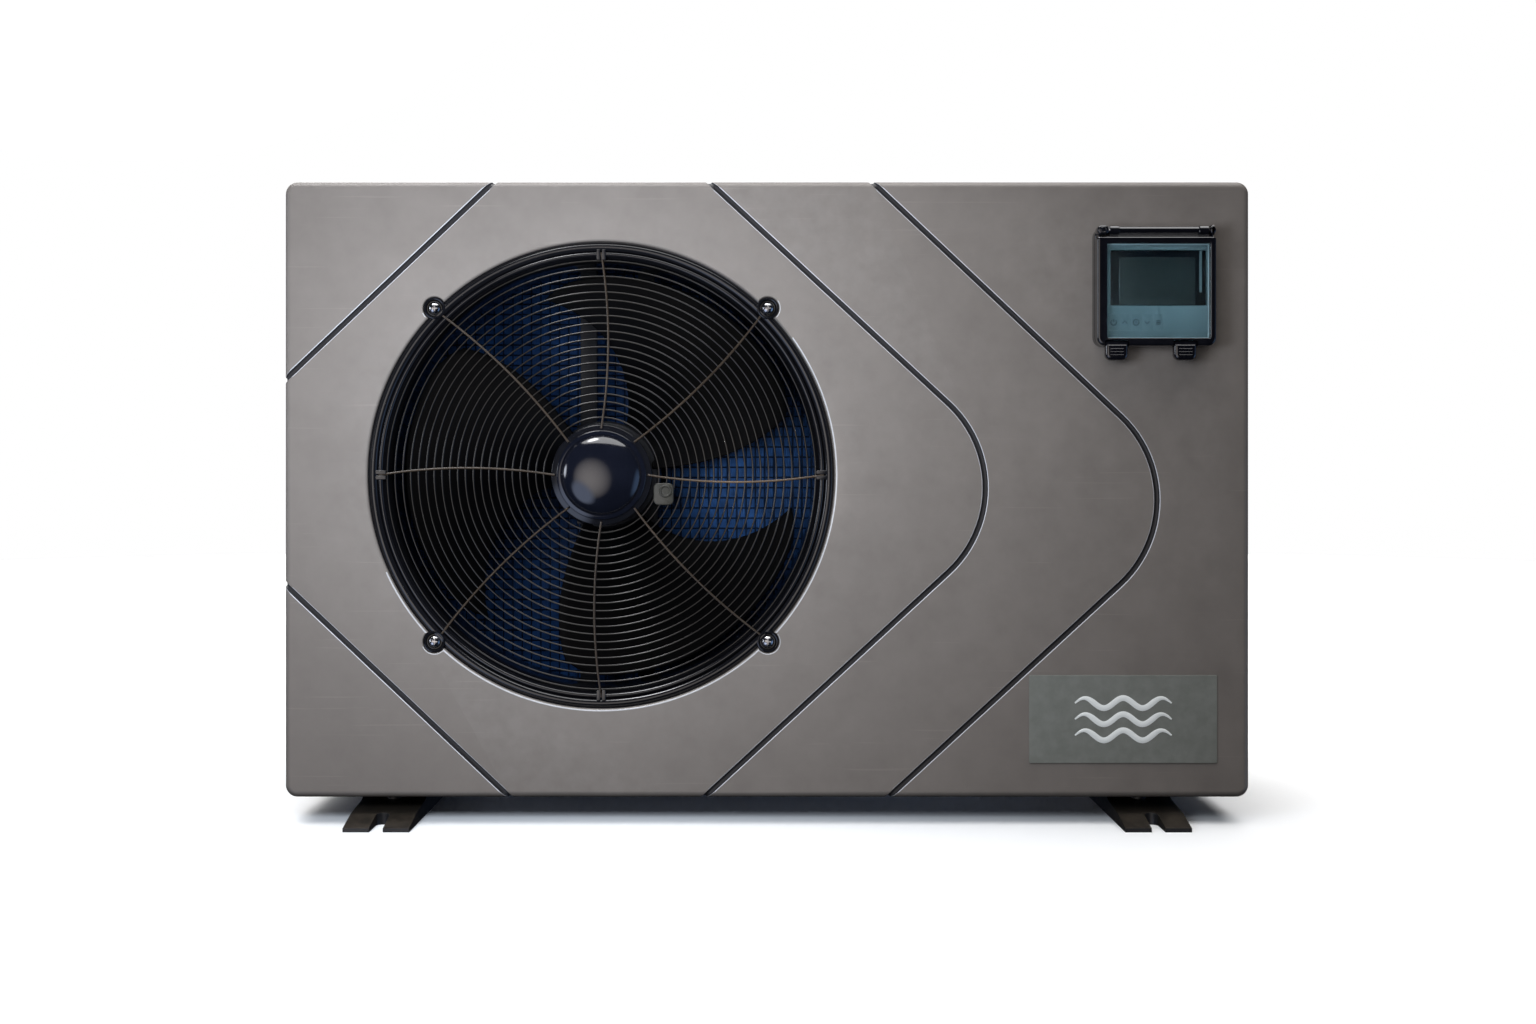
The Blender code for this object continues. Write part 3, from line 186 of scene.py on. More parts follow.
def lathe(bm, profile, centre, axis="Y", steps=96, closed=False):
    """Turns (radius, along) points round an axis through centre; a closed profile makes a ring."""
    rings = []
    for radius, along in profile:
        count = steps if radius > 1e-7 else 1
        ring = []
        for step in range(count):
            turn = 2 * math.pi * step / count
            place = spot(axis, radius * math.cos(turn), radius * math.sin(turn), along)
            ring.append(bm.verts.new(centre + Vector(place)))
        rings.append(ring)
    skin(bm, rings + rings[:1] if closed else rings)


def wire_section(radius, along, wire, sides=10):
    """The round section of a wire ring, for lathe."""
    return [(radius + u, along + v) for u, v in arc(wire, 0, 2 * math.pi, sides)[:-1]]


def fillet(points, radius, steps=5):
    """A profile with each inner point rounded to a radius, as far as its sides allow."""
    points = [Vector(point) for point in points]
    made = [points[0]]
    for before, corner, after in zip(points, points[1:], points[2:]):
        back, on = before - corner, after - corner
        bend = back.angle(on)
        reach = min(radius / math.tan(bend / 2), back.length * 0.48, on.length * 0.48)
        start, end = corner + back.normalized() * reach, corner + on.normalized() * reach
        for step in range(steps + 1):
            share = step / steps
            made.append(
                start * (1 - share) ** 2 + corner * 2 * share * (1 - share) + end * share**2
            )
    made.append(points[-1])
    return [tuple(point) for point in made]


def tube(bm, points, radius, sides=10):
    """A round tube along points, closed at both ends."""
    points = [Vector(point) for point in points]
    rings = []
    normal = None
    for index, point in enumerate(points):
        after = points[min(index + 1, len(points) - 1)]
        before = points[max(index - 1, 0)]
        tangent = (after - before).normalized()
        if normal is None:
            normal = tangent.orthogonal()
        normal = (normal - tangent * normal.dot(tangent)).normalized()
        across = tangent.cross(normal)
        ring = []
        for side in range(sides):
            turn = 2 * math.pi * side / sides
            out = normal * math.cos(turn) + across * math.sin(turn)
            ring.append(bm.verts.new(point + out * radius))
        rings.append(ring)
    skin(bm, rings, (True, True))


def sweep(bm, section, stations, closed=False):
    """A section of (across, out) points carried along (place, across, out) stations."""
    rings = []
    for place, across, out in stations:
        rings.append([bm.verts.new(place + across * u + out * v) for u, v in section])
    if closed:
        rings.append(rings[0])
    skin(bm, rings, (not closed, not closed))


def rounded_rectangle(low, high, upper, lower, steps=8):
    """The outline between two (u, v) corners, rounded by one radius above and another below."""
    upper, lower = max(upper, 0.2 * MM), max(lower, 0.2 * MM)
    corners = (
        (high[0] - upper, high[1] - upper, upper),
        (low[0] + upper, high[1] - upper, upper),
        (low[0] + lower, low[1] + lower, lower),
        (high[0] - lower, low[1] + lower, lower),
    )
    points = []
    for quarter, (u, v, radius) in enumerate(corners):
        for step in range(steps + 1):
            turn = math.pi / 2 * (quarter + step / steps)
            points.append((u + radius * math.cos(turn), v + radius * math.sin(turn)))
    return points


def loft(bm, axis, low, high, corner, layers, capped=(True, True), steps=8, upper=None):
    """A stack of rounded rectangles: each layer is (how far in from the outline, along)."""
    rings = []
    upper = corner if upper is None else upper
    for inset, along in layers:
        inner_low, inner_high = (low[0] + inset, low[1] + inset), (high[0] - inset, high[1] - inset)
        outline = rounded_rectangle(inner_low, inner_high, upper - inset, corner - inset, steps)
        rings.append([bm.verts.new(spot(axis, u, v, along)) for u, v in outline])
    skin(bm, rings, capped)
    return rings


def rounded_edge(radius, start, towards, steps=6):
    """Loft layers for a rounded edge: from the flat face at start, round to its full outline."""
    layers = []
    for step in range(steps + 1):
        turn = math.pi / 2 * step / steps
        along = start + towards * radius * (1 - math.cos(turn))
        layers.append((radius * (1 - math.sin(turn)), along))
    return layers


def slab(bm, axis, low, high, start, stop, corner=1 * MM, edge=0.5 * MM, steps=6):
    """A plate from start to stop along an axis, its corners and both its edges rounded."""
    front = rounded_edge(edge, start, 1, 4)
    back = rounded_edge(edge, stop, -1, 4)
    loft(bm, axis, low, high, corner, front + back[::-1], steps=steps)


def make(name, bm, finish, body="casing", replaces=(), sharp=38):
    """Turns a bmesh into a piece that rides on a body."""
    bmesh.ops.recalc_face_normals(bm, faces=bm.faces)
    mesh = bpy.data.meshes.new(name)
    bm.to_mesh(mesh)
    bm.free()
    piece = bpy.data.objects.new(name, mesh)
    bpy.context.scene.collection.objects.link(piece)
    if finish:
        mesh.materials.append(finish)
    smooth(piece, sharp)
    if body:
        settle(piece, body, replaces)
    return piece


def smooth(piece, sharp=38):
    """Smooth shading, broken at edges sharper than an angle in degrees."""
    piece.data.shade_smooth()
    piece.data.set_sharp_from_angle(angle=math.radians(sharp))


def settle(piece, body, replaces=()):
    """Puts a finished piece on its body, in place of CAD nodes."""
    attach(piece, body)
    if replaces:
        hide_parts(*replaces)
    return piece


def even_normals(piece):
    """Keeps large flat faces flat where they meet rounded ones."""
    weighted = piece.modifiers.new("even_normals", "WEIGHTED_NORMAL")
    weighted.weight = 100
    weighted.keep_sharp = True


def soften(piece, width, segments=2, angle=40):
    """A small bevel on a piece's sharp edges."""
    join = piece.modifiers.new("join", "WELD")
    join.merge_threshold = 0.00001
    bevel = piece.modifiers.new("soft_edges", "BEVEL")
    bevel.width = width
    bevel.segments = segments
    bevel.limit_method = "ANGLE"
    bevel.angle_limit = math.radians(angle)
    bevel.use_clamp_overlap = True
    bevel.harden_normals = True


def carve(piece, *tools, operation="DIFFERENCE"):
    """Cuts each tool from a piece, or joins it on, and removes the tool."""
    for tool in tools:
        boolean = piece.modifiers.new("carve", "BOOLEAN")
        boolean.operation = operation
        boolean.solver = "EXACT"
        boolean.object = tool
        if tool.data.materials:
            boolean.material_mode = "TRANSFER"
    bpy.context.view_layer.update()
    graph = bpy.context.evaluated_depsgraph_get()
    result = bpy.data.meshes.new_from_object(piece.evaluated_get(graph))
    piece.modifiers.clear()
    old = piece.data
    name = old.name
    piece.data = result
    bpy.data.meshes.remove(old)
    result.name = name
    for tool in tools:
        bpy.data.meshes.remove(tool.data)
    return piece


def tool_from(bm):
    """A bmesh as a cutting tool."""
    return make("tool", bm, None, body=None)


def slab_tool(*shape, **rounding):
    """A slab as a cutting tool."""
    bm = bmesh.new()
    slab(bm, *shape, **rounding)
    return tool_from(bm)


def settle_carved(piece, tools, body, node, sharp=32):
    """Cuts tools from a piece, shades it evenly and puts it on its body in place of a CAD node."""
    carve(piece, *tools)
    smooth(piece, sharp)
    even_normals(piece)
    settle(piece, body, (node,))


# ---------------------------------------------------------------- finishes


def add(tree, kind, **inputs):
    """A shader node with some of its inputs set; an input given a socket is linked to it."""
    node = tree.nodes.new(kind)
    for name, value in inputs.items():
        socket = node.inputs[name.replace("_", " ")]
        if isinstance(value, bpy.types.NodeSocket):
            tree.links.new(value, socket)
        else:
            socket.default_value = value
    return node


def remap(tree, value, low, high, to_low, to_high):
    node = add(tree, "ShaderNodeMapRange", Value=value)
    for name, number in (
        ("From Min", low), ("From Max", high), ("To Min", to_low), ("To Max", to_high),
    ):
        node.inputs[name].default_value = number
    return node.outputs["Result"]


def blend_colours(tree, share, first, second, how="MIX"):
    """Mixes or multiplies two colours; each may be a socket."""
    node = tree.nodes.new("ShaderNodeMix")
    node.data_type = "RGBA"
    node.blend_type = how
    for index, value in ((0, share), (6, first), (7, second)):
        if isinstance(value, bpy.types.NodeSocket):
            tree.links.new(value, node.inputs[index])
        else:
            node.inputs[index].default_value = value
    return node.outputs[2]


def noise(tree, where, scale, detail=4.0, rough=0.55):
    node = add(tree, "ShaderNodeTexNoise", Vector=where, Scale=scale, Detail=detail)
    node.inputs["Roughness"].default_value = rough
    return node.outputs["Fac"]


def finish(
    name, colour, roughness, metallic=0.0, mottle=0.06, mottle_scale=28.0, grain=0.25,
    grain_scale=1100.0, grain_depth=0.06 * MM, pebble=0.0, pebble_scale=420.0, coat=0.0,
    specular=0.5, stretch=(1, 1, 1), wear=0.0, wear_colour=(0.5, 0.48, 0.45, 1),
    rough_vary=0.06, scratches=0.0, transmission=0.0, ior=1.5,
):
    """A procedural finish: mottled colour, fine grain, uneven gloss, and wear along edges."""
    made = bpy.data.materials.new(name)
    made.use_nodes = True
    tree = made.node_tree
    shader = tree.nodes["Principled BSDF"]
    where = tree.nodes.new("ShaderNodeTexCoord").outputs["Object"]
    laid = add(tree, "ShaderNodeMapping", Vector=where, Scale=stretch).outputs["Vector"]

    patches = noise(tree, where, mottle_scale, 6.0, 0.6)
    clouds = noise(tree, where, mottle_scale * 0.22, 3.0)
    shade = remap(tree, patches, 0.3, 0.7, 1 - mottle, 1 + mottle)
    drift = remap(tree, clouds, 0.3, 0.7, 1 - mottle * 0.7, 1 + mottle * 0.7)
    tone = blend_colours(tree, 1.0, (*colour, 1), shade, "MULTIPLY")
    tone = blend_colours(tree, 1.0, tone, drift, "MULTIPLY")
    gloss = remap(tree, patches, 0.3, 0.7, roughness - rough_vary, roughness + rough_vary)

    height = noise(tree, laid, grain_scale, 3.0)
    if pebble:
        cells = add(tree, "ShaderNodeTexVoronoi", Vector=where, Scale=pebble_scale)
        cells.feature = "SMOOTH_F1"
        pebbles = remap(tree, cells.outputs["Distance"], 0.0, 0.8, pebble, 0.0)
        together = tree.nodes.new("ShaderNodeMath")
        tree.links.new(height, together.inputs[0])
        tree.links.new(pebbles, together.inputs[1])
        height = together.outputs[0]
    if scratches:
        turned = add(tree, "ShaderNodeMapping", Vector=where, Scale=(3, 3, 160))
        turned.inputs["Rotation"].default_value = (0, math.radians(52), 0)
        lines = noise(tree, turned.outputs["Vector"], 2.2, 2.0)
        marks = remap(tree, lines, 0.68, 0.72, 0.0, scratches)
        pale = tuple(min(1.0, channel * 1.35) for channel in colour)
        tone = blend_colours(tree, marks, tone, (*pale, 1))
    if wear:
        bend = tree.nodes.new("ShaderNodeNewGeometry").outputs["Pointiness"]
        edges = remap(tree, bend, 0.515, 0.56, 0.0, wear)
        rubbed = tree.nodes.new("ShaderNodeMath")
        rubbed.operation = "MULTIPLY"
        tree.links.new(edges, rubbed.inputs[0])
        patchy = remap(tree, noise(tree, where, 90.0), 0.35, 0.65, 0.0, 1.0)
        tree.links.new(patchy, rubbed.inputs[1])
        tone = blend_colours(tree, rubbed.outputs[0], tone, wear_colour)
    bump = add(tree, "ShaderNodeBump", Height=height, Strength=grain, Distance=grain_depth)

    tree.links.new(tone, shader.inputs["Base Color"])
    tree.links.new(gloss, shader.inputs["Roughness"])
    tree.links.new(bump.outputs["Normal"], shader.inputs["Normal"])
    for socket, value in (
        ("Metallic", metallic), ("Coat Weight", coat), ("Coat Roughness", 0.06), ("IOR", ior),
        ("Specular IOR Level", specular), ("Transmission Weight", transmission),
    ):
        shader.inputs[socket].default_value = value
    return made


CASING = finish(
    "casing_satin", (0.158, 0.1375, 0.1225), 0.44, mottle=0.065, mottle_scale=36, grain=0.35,
    pebble=1.0, pebble_scale=330, grain_depth=0.07 * MM, wear=0.10,
    wear_colour=(0.30, 0.28, 0.26, 1), scratches=0.4,
)
# Painted highlight: a pale copy of the casing for the groove lips, standing in for the light they catch
GROOVE_LIP_PAINTED_HIGHLIGHT = finish(
    "casing_groove_lip_painted_highlight", (0.50, 0.49, 0.51), 0.34, mottle=0.10, mottle_scale=60, grain=0.2,
)
# Painted highlight: a pale copy of the casing for the lower and right side of the opening's lip
OPENING_EDGE_PAINTED_HIGHLIGHT = finish(
    "casing_opening_edge_painted_highlight", (0.38, 0.37, 0.37), 0.34, mottle=0.10, mottle_scale=60, grain=0.2,
)
# Painted shade: near black for the walls and floors of the grooves, standing in for the shade inside
# them
GROOVE_FLOOR_PAINTED_SHADE = finish(
    "casing_groove_floor_painted_shade", (0.018, 0.017, 0.018), 0.46, mottle=0.14, mottle_scale=50, grain=0.3,
)
GLOSS_BLACK = finish(
    "black_gloss_plastic", (0.0040, 0.0040, 0.0050), 0.15, mottle=0.15, grain=0.05,
    grain_scale=500, rough_vary=0.03, coat=0.4, wear=0.04, wear_colour=(0.03, 0.03, 0.04, 1),
)
DOME_BLACK = finish(
    "black_dome_plastic", (0.0035, 0.0040, 0.0070), 0.13, mottle=0.15, grain=0.03,
    grain_scale=500, rough_vary=0.03, coat=0.8,
)
CONTROL_BLACK = finish(
    "black_control_plastic", (0.0035, 0.0034, 0.0050), 0.15, mottle=0.12, grain=0.05,
    grain_scale=900, rough_vary=0.03, coat=0.6, wear=0.05, wear_colour=(0.05, 0.05, 0.06, 1),
)
MATT_BLACK = finish(
    "black_matt_plastic", (0.0105, 0.0105, 0.0115), 0.42, mottle=0.18, grain=0.3, wear=0.06,
    wear_colour=(0.06, 0.06, 0.06, 1),
)
BLADE_BLACK = finish(
    "fan_blade_plastic", (0.0009, 0.0009, 0.0010), 0.40, mottle=0.2, grain=0.2, grain_scale=700,
    specular=0.06,
)
RING_WIRE_FINISH = finish(
    "guard_ring_coating", (0.0045, 0.0040, 0.0036), 0.13, mottle=0.2, grain=0.08, coat=0.5,
    rough_vary=0.03,
)
SPOKE_FINISH = finish(
    "guard_spoke_coating", (0.026, 0.018, 0.012), 0.30, mottle=0.25, grain=0.2, coat=0.2,
)
CLIP_GREY = finish("grey_clip", (0.016, 0.0155, 0.013), 0.30, mottle=0.3, mottle_scale=160, grain=0.2)
FOOT_STEEL = finish(
    "foot_steel", (0.022, 0.0185, 0.0150), 0.36, metallic=0.35, mottle=0.20, mottle_scale=60,
    grain=0.5, grain_scale=700, wear=0.35, wear_colour=(0.10, 0.080, 0.060, 1),
)
GALVANISED = finish(
    "galvanised_steel", (0.42, 0.43, 0.44), 0.38, metallic=0.9, mottle=0.16, mottle_scale=70,
    grain=0.2, grain_scale=350, rough_vary=0.12,
)
SCREW_STEEL = finish(
    "screw_steel", (0.52, 0.52, 0.53), 0.24, metallic=1.0, mottle=0.10, mottle_scale=300,
    grain=0.2, grain_scale=1500, stretch=(1, 1, 6),
)
COPPER = finish(
    "copper_pipe", (0.58, 0.25, 0.13), 0.30, metallic=1.0, mottle=0.22, mottle_scale=60,
    grain=0.2, rough_vary=0.12,
)
BLUE_FINS = finish(
    "blue_fin_coating", (0.013, 0.042, 0.125), 0.36, mottle=0.45,
    mottle_scale=55, grain=0.5, grain_scale=260, rough_vary=0.1,
)
# Painted shade: a darker copy of the blue fin coating, standing in for the shade deep in the coil
BLUE_FINS_PAINTED_SHADE = finish(
    "blue_fin_coating_painted_shade", (0.0025, 0.006, 0.016), 0.45, mottle=0.40, mottle_scale=55, grain=0.4,
)
WHITE_PVC = finish("white_pvc", (0.62, 0.62, 0.59), 0.34, mottle=0.04, grain=0.15)
GREY_PVC = finish("grey_pvc", (0.135, 0.145, 0.155), 0.36, mottle=0.07, grain=0.25, wear=0.2)
TITANIUM = finish("titanium_tube", (0.42, 0.40, 0.38), 0.30, metallic=1.0, mottle=0.1)
ENAMEL = finish("black_enamel", (0.014, 0.014, 0.015), 0.26, mottle=0.2, grain=0.2, coat=0.3)
BADGE = finish(
    "badge_plate", (0.158, 0.160, 0.142), 0.50, specular=0.2, mottle=0.03, grain=0.4,
    grain_scale=260, stretch=(1, 1, 24), wear=0.25, wear_colour=(0.3, 0.3, 0.28, 1),
)
BADGE_MARK = finish("badge_mark", (0.80, 0.80, 0.77), 0.42, mottle=0.03, grain=0.15)
KEYPAD = finish(
    "keypad_plastic", (0.110, 0.156, 0.176), 0.34, mottle=0.05, mottle_scale=70, grain=0.25,
    grain_scale=1400,
)
KEY_MARK = finish("key_mark", (0.018, 0.030, 0.036), 0.45, mottle=0.05, grain=0.2)
SCREEN_BLACK = finish("screen_surround", (0.006, 0.0075, 0.010), 0.16, mottle=0.1, grain=0.05)
LCD = finish(
    "lcd_glass", (0.021, 0.027, 0.028), 0.22, mottle=0.07, mottle_scale=18, grain=0.05,
    grain_scale=2600, rough_vary=0.03,
)
CLEAR = finish(
    "clear_cover", (0.80, 0.93, 0.96), 0.07, mottle=0.02, grain=0.03, rough_vary=0.02,
    transmission=1.0, ior=1.2,
)
# Painted light: opaque pale teal for the bars along the window's edges, standing in for light gathered
# in the clear edge
CLEAR_EDGE_PAINTED_LIGHT = finish(
    "clear_cover_edge_painted_light", (0.30, 0.45, 0.50), 0.16, mottle=0.08, grain=0.1, coat=0.6,
)
BOARD = finish("circuit_board", (0.02, 0.10, 0.045), 0.35, mottle=0.3, mottle_scale=180, grain=0.3)


# ---------------------------------------------------------------- casing


def bent_path(points, radius, steps):
    """A path through points in a plane, its inner corners rounded to a radius."""
    path = [Vector(points[0])]
    for before, corner, after in zip(points, points[1:], points[2:]):
        corner = Vector(corner)
        back = (Vector(before) - corner).normalized()
        on = (Vector(after) - corner).normalized()
        half = back.angle(on) / 2
        centre = corner + (back + on).normalized() * (radius / math.sin(half))
        first = corner + back * (radius / math.tan(half)) - centre
        last = corner + on * (radius / math.tan(half)) - centre
        turn = first.angle(last)
        for step in range(steps + 1):
            share = step / steps
            mix = first * math.sin((1 - share) * turn) + last * math.sin(share * turn)
            path.append(centre + mix / math.sin(turn))
    path.append(Vector(points[-1]))
    return path


def rim_run(end, inner, depth):
    """(place, out) from the back of the rim, round its edge and onto the face, for a groove."""
    outward = Vector((-1, 0)) if end.x == LEFT_X else Vector((0, 1 if end.y == TOP_Z else -1))
    way = (inner - end).normalized()
    shoulder = end + way * (EDGE_RADIUS / -way.dot(outward))
    out_3d = Vector((outward.x, 0, outward.y))
    run = [(Vector((end.x, FRONT_Y + depth, end.y)), out_3d * GROOVE_ON_RIM)]
    for step in range(9):
        turn = math.pi / 2 * (1 - step / 8)
        plan = shoulder + (end - shoulder) * math.sin(turn)
        place = Vector((plan.x, FRONT_Y + EDGE_RADIUS * (1 - math.cos(turn)), plan.y))
        out = out_3d * math.sin(turn) + Vector((0, -math.cos(turn), 0))
        run.append((place, out * (1 - (1 - GROOVE_ON_RIM) * math.sin(turn))))
    return run


def with_across(line):
    """Adds the direction across the line to each (place, out)."""
    stations = []
    for index, (place, out) in enumerate(line):
        after = line[min(index + 1, len(line) - 1)][0]
        before = line[max(index - 1, 0)][0]
        across = (after - before).cross(out).normalized()
        stations.append((place, across, out))
    return stations


def groove_section():
    """The whole groove section, in metres."""
    half = in_mm(GROOVE_HALF_MM)
    return half + [(0, -GROOVE_DEPTH)] + [(-u, v) for u, v in reversed(half)]


def groove_tool(route):
    """The shape of one groove, on over both edges of the face and back along the rim."""
    flat = bent_path(route, GROOVE_BEND, 24)
    depth = PANEL_HIGH.y - FRONT_Y + 6 * MM
    line = rim_run(flat[0], flat[1], depth)
    line += [(Vector((p.x, FRONT_Y, p.y)), Vector((0, -1, 0))) for p in flat[1:-1]]
    line += rim_run(flat[-1], flat[-2], depth)[::-1]
    bm = bmesh.new()
    section = groove_section()
    sweep(bm, section, with_across(line))
    tool = tool_from(bm)
    for look in (CASING, GROOVE_LIP_PAINTED_HIGHLIGHT, GROOVE_FLOOR_PAINTED_SHADE):
        tool.data.materials.append(look)
    # Faces near the lips take the painted highlight, the rest of the groove the painted shade
    last = len(section) - 2
    for face in tool.data.polygons:
        segment = face.index % len(section)
        from_lip = min(segment, last - segment)
        face.material_index = 1 if from_lip < GROOVE_LIP_POINTS - 1 else 2
    return tool


def flared_tool(centre, radius, lip, steps):
    """A round cutter whose mouth flares at the face, leaving a rounded lip with a painted highlight
    below and right.
    """
    profile = [(0, -3 * MM), (radius + lip * 1.9, -3 * MM), (radius + lip * 1.4, -0.35 * lip)]
    for step in range(1, 7):
        turn = math.radians(20 + 70 * step / 6)
        profile.append((radius + lip * (1 - math.sin(turn)), lip * (1 - math.cos(turn))))
    profile += [(radius, 30 * MM), (0, 30 * MM)]
    bm = bmesh.new()
    lathe(bm, profile, centre, "Y", steps)
    tool = tool_from(bm)
    for look in (CASING, OPENING_EDGE_PAINTED_HIGHLIGHT):
        tool.data.materials.append(look)
    for face in tool.data.polygons:
        # Painted highlight: lip faces on the lower and right side take the pale finish, where light from
        # the upper left would fall
        out = face.center - centre
        lit = out.x * 0.5 - out.z * 0.87 > -0.1 * radius
        face.material_index = int(lit and -0.4 * lip < out.y < 0.3 * lip)
    return tool


def polar(radius, angle, depth=0.0):
    """A point round the fan's axis, depth behind the face."""
    return FAN_AXIS + Vector((radius * math.cos(angle), depth, radius * math.sin(angle)))


def make_front_panel():
    """The moulded face: a shallow shell with rounded edges, the fan opening and four grooves."""
    bm = bmesh.new()
    layers = rounded_edge(EDGE_RADIUS, FRONT_Y, 1, 10)
    layers += [(0, PANEL_HIGH.y), (WALL, PANEL_HIGH.y), (WALL, FRONT_Y + WALL)]
    low, high = (LEFT_X, BOTTOM_Z), (RIGHT_X, TOP_Z)
    loft(bm, "Y", low, high, CORNER_RADIUS, layers, steps=12)
    panel = make("front_moulding", bm, CASING, body=None)
    tools = [flared_tool(FAN_AXIS, OPENING_RADIUS, OPENING_LIP, 192)]
    tools += [flared_tool(polar(LUG_RADIUS, a), LUG_POCKET, LUG_LIP, 48) for a in LUG_ANGLES]
    tools += [groove_tool(route) for route in GROOVES]
    reach = 2.6 * MM
    tools.append(slab_tool(
        "Y", (UNIT_LOW.x - reach, UNIT_LOW.z - reach), (UNIT_HIGH.x + reach, UNIT_HIGH.z + reach),
        FRONT_Y - 5 * MM, FRONT_Y + 20 * MM,
    ))
    settle_carved(panel, tools, "casing", "front_panel")


def slot_row(bm, axis, start, end, first, height, count, low, high):
    """Rounded slots, one above the next, as cutters through a sheet."""
    for row in range(count):
        base = first + row * SLOT_PITCH
        slab(bm, axis, (start, base), (end, base + height), low, high, corner=5 * MM)


def louvre(bm, axis, start, end, height, outer, inward, drop=9 * MM, reach=14 * MM):
    """One slanted slat with rounded edges, its outer edge at outer."""
    profile = []
    thick = 0.9 * MM
    slope = Vector((reach * inward, drop)).normalized()
    side = Vector((-slope.y, slope.x)) * thick
    for centre, turn_start in (
        (Vector((outer, height)), math.pi / 2),
        (Vector((outer + reach * inward, height + drop)), -math.pi / 2),
    ):
        for step in range(7):
            turn = turn_start + math.pi * step / 6
            profile.append(centre + side * math.sin(turn) + slope * thick * math.cos(turn))
    rings = []
    for along in (start, end):
        if axis == "Y":
            rings.append([bm.verts.new((along, p.x, p.y)) for p in profile])
        else:
            rings.append([bm.verts.new((p.x, along, p.y)) for p in profile])
    skin(bm, rings, (True, True))


def screw_head(bm, place, axis, outward, radius=4.2 * MM):
    """A small pan-head screw with a round recess and a washer, standing on a face."""
    washer = [(0, 0), (radius * 1.45, 0), (radius * 1.45, 0.7 * MM), (radius * 1.3, 0.9 * MM)]
    head = [(radius, 0.9 * MM), (radius, 1.5 * MM), (radius * 0.88, 2.2 * MM)]
    crown = [(radius * 0.5, 2.55 * MM), (radius * 0.46, 2.4 * MM), (radius * 0.42, 1.4 * MM)]
    crown.append((0, 1.4 * MM))
    profile = [(r, outward * along) for r, along in washer + head + crown]
    lathe(bm, profile, Vector(place), axis, 24)


def make_side_panels():
    """Sheet sides with moulded grips; the left one is louvred beside the coil."""
    for name, inward in (("left", 1), ("right", -1)):
        low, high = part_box(f"{name}_side_panel")
        outer = low.x if inward > 0 else high.x
        grip = ((-68 * MM, high.z - 101 * MM), (56 * MM, high.z - 49 * MM))
        make_side_sheet(name, low, high, sorted((outer, outer + inward * 3 * MM)), grip)
        make_grip_cup(name, outer, inward, grip)
        make_side_fixings(name, low, high, outer, inward)


def make_side_sheet(name, low, high, faces, grip):
    """One side, cut for its grip and, on the left, for its air slots."""
    start, stop = faces
    bm = bmesh.new()
    slab(bm, "X", (low.y, low.z), (high.y, high.z), start, stop, corner=2 * MM, edge=0.7 * MM)
    panel = make(f"{name}_side", bm, CASING, body=None)
    bm = bmesh.new()
    slab(bm, "X", *grip, start - 5 * MM, stop + 5 * MM, corner=9 * MM)
    if name == "left":
        slot_row(
            bm, "X", low.y + 25 * MM, high.y - 15 * MM, SIDE_SLOT_Z, 25 * MM, SIDE_SLOTS,
            start - 5 * MM, stop + 5 * MM,
        )
    settle_carved(panel, [tool_from(bm)], "casing", f"{name}_side_panel")


def make_grip_cup(name, outer, inward, grip):
    """The moulded recess behind a grip, with a lip over the sheet's edge."""
    shell = in_mm((
        (-2.5, 0), (-2.2, -1.2), (0.6, -1.2), (1.8, 0.4), (2.2, 3), (3.2, 20), (5.5, 26), (11, 29),
    ))
    layers = [(inset, outer + inward * max(along, 0)) for inset, along in shell]
    back = [(inset - 1.8 * MM, outer + inward * (along + 1.6 * MM)) for inset, along in shell[4:]]
    layers += back[::-1] + [(-2.5 * MM, outer + inward * 2 * MM)]
    bm = bmesh.new()
    loft(bm, "X", *grip, 9 * MM, layers, steps=6)
    make(f"{name}_grip_cup", bm, MATT_BLACK, sharp=50)


def make_side_fixings(name, low, high, outer, inward):
    """The screws of a side and, on the left, its slats."""
    bm = bmesh.new()
    for y in (low.y + 12 * MM, high.y - 8 * MM):
        for z in (low.z + 20 * MM, (low.z + high.z) / 2, high.z - 20 * MM):
            screw_head(bm, (outer, y, z), "X", -inward, 3.2 * MM)
    if name == "left":
        for row in range(SIDE_SLOTS):
            louvre(
                bm, "X", low.y + 26 * MM, high.y - 16 * MM,
                SIDE_SLOT_Z + 1.5 * MM + row * SLOT_PITCH, outer + 1.6 * MM, 1, drop=8 * MM,
                reach=11 * MM,
            )
    make(f"{name}_side_fixings", bm, SCREW_STEEL if name == "right" else MATT_BLACK)


